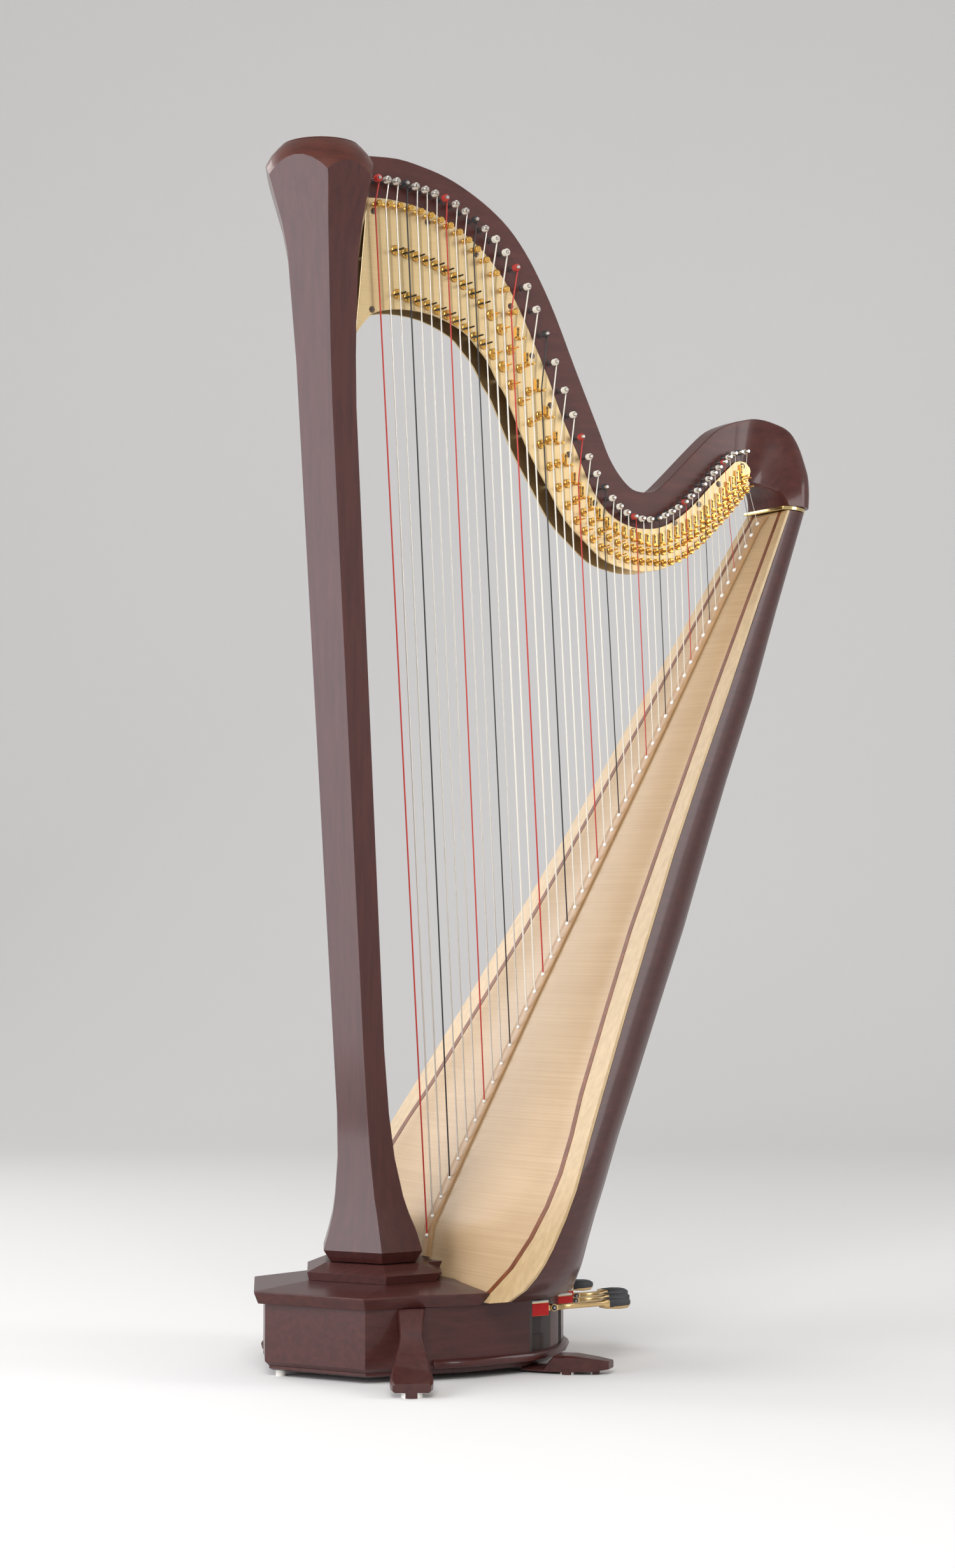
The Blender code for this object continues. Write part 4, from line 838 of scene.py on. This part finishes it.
def make_strings():
    """Strings by material, from the rib past the nut to four turns round the pin."""
    groups = {}
    eyelets = bmesh.new()
    for number in range(1, STRINGS + 1):
        radius, material = string_look(number)
        nut = Vector((*string_top(number), 0)).xzy
        nut.y = STRING_Y
        pin_x, pin_z = along_row(PIN_ROW, number)
        seat = seat_on_rib(along_row(FOOT_ROW, number)[1])
        pin = Vector((pin_x, STRING_Y - 0.0035, pin_z))
        end = pin + Vector((PIN_RADIUS + radius, 0, 0))
        mesh = groups.setdefault(material.name, (bmesh.new(), material))[0]
        rod(mesh, seat, nut, radius, 8)
        rod(mesh, nut, end, radius, 8)
        for turn in range(PIN_TURNS):
            y = pin.y - turn * 2.1 * radius + 0.002
            coil(mesh, Vector((pin.x, y, pin.z)), PIN_RADIUS + radius, radius)
        size = 0.0036 if number > WOUND else 0.0030
        turned(eyelets, seat - BOARD_NORMAL * 0.001, seat + BOARD_NORMAL * 0.0022,
               ((0, size), (0.55, size), (0.85, size * 0.8), (1, size * 0.45)), 16)
    for index, (mesh, material) in enumerate(groups.values()):
        replaces = ("strings",) if index == 0 else ()
        put("strings_" + material.name, mesh, material, replaces=replaces, smooth=60)
    put("string_eyelets", eyelets, EYELET, smooth=50)


def make_rib():
    """The narrow rib that the strings come out of, along the middle of the board."""
    mesh = bmesh.new()
    section = ((-RIB_HALF, 0.0004), (RIB_HALF, 0.0004), (RIB_HALF, 0.0026),
               (RIB_HALF - 0.0015, RIB_HIGH), (0.0015 - RIB_HALF, RIB_HIGH), (-RIB_HALF, 0.0026))
    rings = []
    for z in [0.1530] + [z for z, _ in BOARD_WIDTH if 0.16 < z < 1.30] + [1.3010]:
        lift = between(CROWN, z)
        rings.append([board_point(z, y, lift + height) for y, height in section])
    loft(mesh, rings)
    put("centre_rib", mesh, RIB, smooth=30)


def coil(mesh, centre, reach, radius, sides=14):
    """One closed turn of string round a pin along y."""
    rings = []
    for i in range(sides):
        turn = 2 * math.pi * i / sides
        out = Vector((math.cos(turn), 0, math.sin(turn)))
        ring = []
        for k in range(5):
            roll = 2 * math.pi * k / 5
            ring.append(centre + out * (reach + radius * math.cos(roll))
                        + Vector((0, radius * math.sin(roll), 0)))
        rings.append(ring)
    rings.append(rings[0])
    loft(mesh, rings, False)


def make_board():
    """The crowned soundboard with its pale rim, two rows of faces between sections."""
    mesh = bmesh.new()
    heights = []
    for (z0, _), (z1, _) in zip(BOARD_WIDTH, BOARD_WIDTH[1:]):
        heights += [z0, (z0 + z1) / 2]
    heights.append(BOARD_WIDTH[-1][0])
    rows = []
    backs = []
    for z in heights:
        wide = between(BOARD_WIDTH, z)
        stripe = between(STRIPE_WIDTH, z)
        half = [wide, stripe + 0.005] + [(stripe - 0.006) * k / 8 for k in range(8, 0, -1)]
        across = [-y for y in half] + [0] + half[::-1]
        front = [board_point(z, y, crown_at(z, y)) for y in across]
        rows.append([mesh.verts.new(point) for point in front])
        backs.append([mesh.verts.new(point + Vector((THICK_ALONG_X, 0, 0)))
                      for point in (front[0], front[-1])])
    for low, high, back_low, back_high in zip(rows, rows[1:], backs, backs[1:]):
        last = len(low) - 1
        for i in range(last):
            face = mesh.faces.new((low[i], low[i + 1], high[i + 1], high[i]))
            face.material_index = 1 if i in (0, last - 1) else 0
        for i, k in ((0, 0), (last, 1)):
            face = mesh.faces.new((low[i], high[i], back_high[k], back_low[k]))
            face.material_index = 1
        mesh.faces.new((back_low[0], back_high[0], back_high[1], back_low[1]))
    put("soundboard_look", mesh, [SPRUCE, MAPLE], replaces=("soundboard",), smooth=30)


def make_inlay():
    """The two stripes near the edges of the board, narrower towards the top."""
    for side, sign in (("near", -1), ("far", 1)):
        mesh = bmesh.new()
        rings = []
        for z, wide in STRIPE_WIDTH:
            half = 0.0054 - 0.0020 * z / STRIPE_WIDTH[-1][0]
            rings.append([board_point(z, sign * (wide + push), lift) for lift, push in
                          ((0.0001, -half), (0.0001, half), (0.0006, half), (0.0006, -half))])
        loft(mesh, rings)
        put("stripe_" + side, mesh, INLAY, replaces=("inlay_" + side,))


def dress_box():
    dress("soundbox_shell", WOOD_LONG, smooth=40)
    dress("shoulder_band", BRASS, smooth=40, bevel=0.0010)


def pedal_cap(y, tip):
    """A rubber cap with a rounded section round the end of a pedal."""
    mesh = bmesh.new()
    rings = []
    for x, half, low, high in ((tip - 0.0400, 0.0094, -0.0056, 0.0060),
                               (tip - 0.0385, 0.0122, -0.0070, 0.0070),
                               (tip - 0.0200, 0.0141, -0.0076, 0.0072),
                               (tip - 0.0060, 0.0126, -0.0070, 0.0062),
                               (tip, 0.0084, -0.0050, 0.0034)):
        ring = []
        for k in range(20):
            turn = 2 * math.pi * k / 20
            c, s = math.cos(turn), math.sin(turn)
            a = math.copysign(abs(c) ** 0.5, c)
            b = math.copysign(abs(s) ** 0.5, s)
            ring.append((x, y + a * half, PEDAL_Z + (b * high if b > 0 else -b * low)))
        rings.append(ring)
    loft(mesh, rings)
    return mesh


def pedal_pivot(y, fold):
    """The dark washers and steel pin ends at both sides of a folding hinge."""
    mesh = bmesh.new()
    for out in (-1, 1):
        side = y + out * 0.0045
        turned(mesh, (fold, side, PEDAL_Z), (fold, side + out * 0.0010, PEDAL_Z),
               ((0, 0.0042), (0.6, 0.0042), (1, 0.0034)), 20)
        turned(mesh, (fold, side + out * 0.0009, PEDAL_Z),
               (fold, side + out * 0.0014, PEDAL_Z), ((0, 0.0018), (1, 0.0015)), 14, 1)
    return mesh


def make_pedals():
    paint("pedal_rack", STEEL)
    for name, y, fold, tip in PEDALS:
        wall = fold - 0.0290 if abs(y) > 0.15 else fold - 0.0250
        paint("pedal_rod_" + name, STEEL)
        dress("pedal_" + name, PEDAL_BRASS, body="pedal_" + name, bevel=0.0005)
        dress("pedal_tip_" + name, PEDAL_BRASS, body="tip_" + name, smooth=50)
        mesh = bmesh.new()
        box(mesh, (wall - 0.0125, y - 0.0046, PEDAL_Z - 0.0104),
            (wall + 0.0200, y + 0.0046, PEDAL_Z + 0.0085))
        put("red_felt_" + name, mesh, RED_FELT, body="pedal_" + name, bevel=0.0015)
        mesh = bmesh.new()
        box(mesh, (wall - 0.0115, y - 0.0044, PEDAL_Z + 0.0086),
            (wall + 0.0195, y + 0.0044, PEDAL_Z + 0.0118))
        put("white_felt_" + name, mesh, WHITE_FELT, body="pedal_" + name, bevel=0.0010)
        put("pedal_cap_" + name, pedal_cap(y, tip), RUBBER, body="tip_" + name, smooth=60)
        put("pedal_pivot_" + name, pedal_pivot(y, fold), [BLACK, STEEL], body="tip_" + name,
            smooth=50)


set_camera()
set_stage()
dress_base()
dress_column()
make_neck()
make_shoulder()
make_tuning_pins()
make_plates()
make_action()
make_strings()
make_rib()
make_board()
make_inlay()
dress_box()
make_pedals()
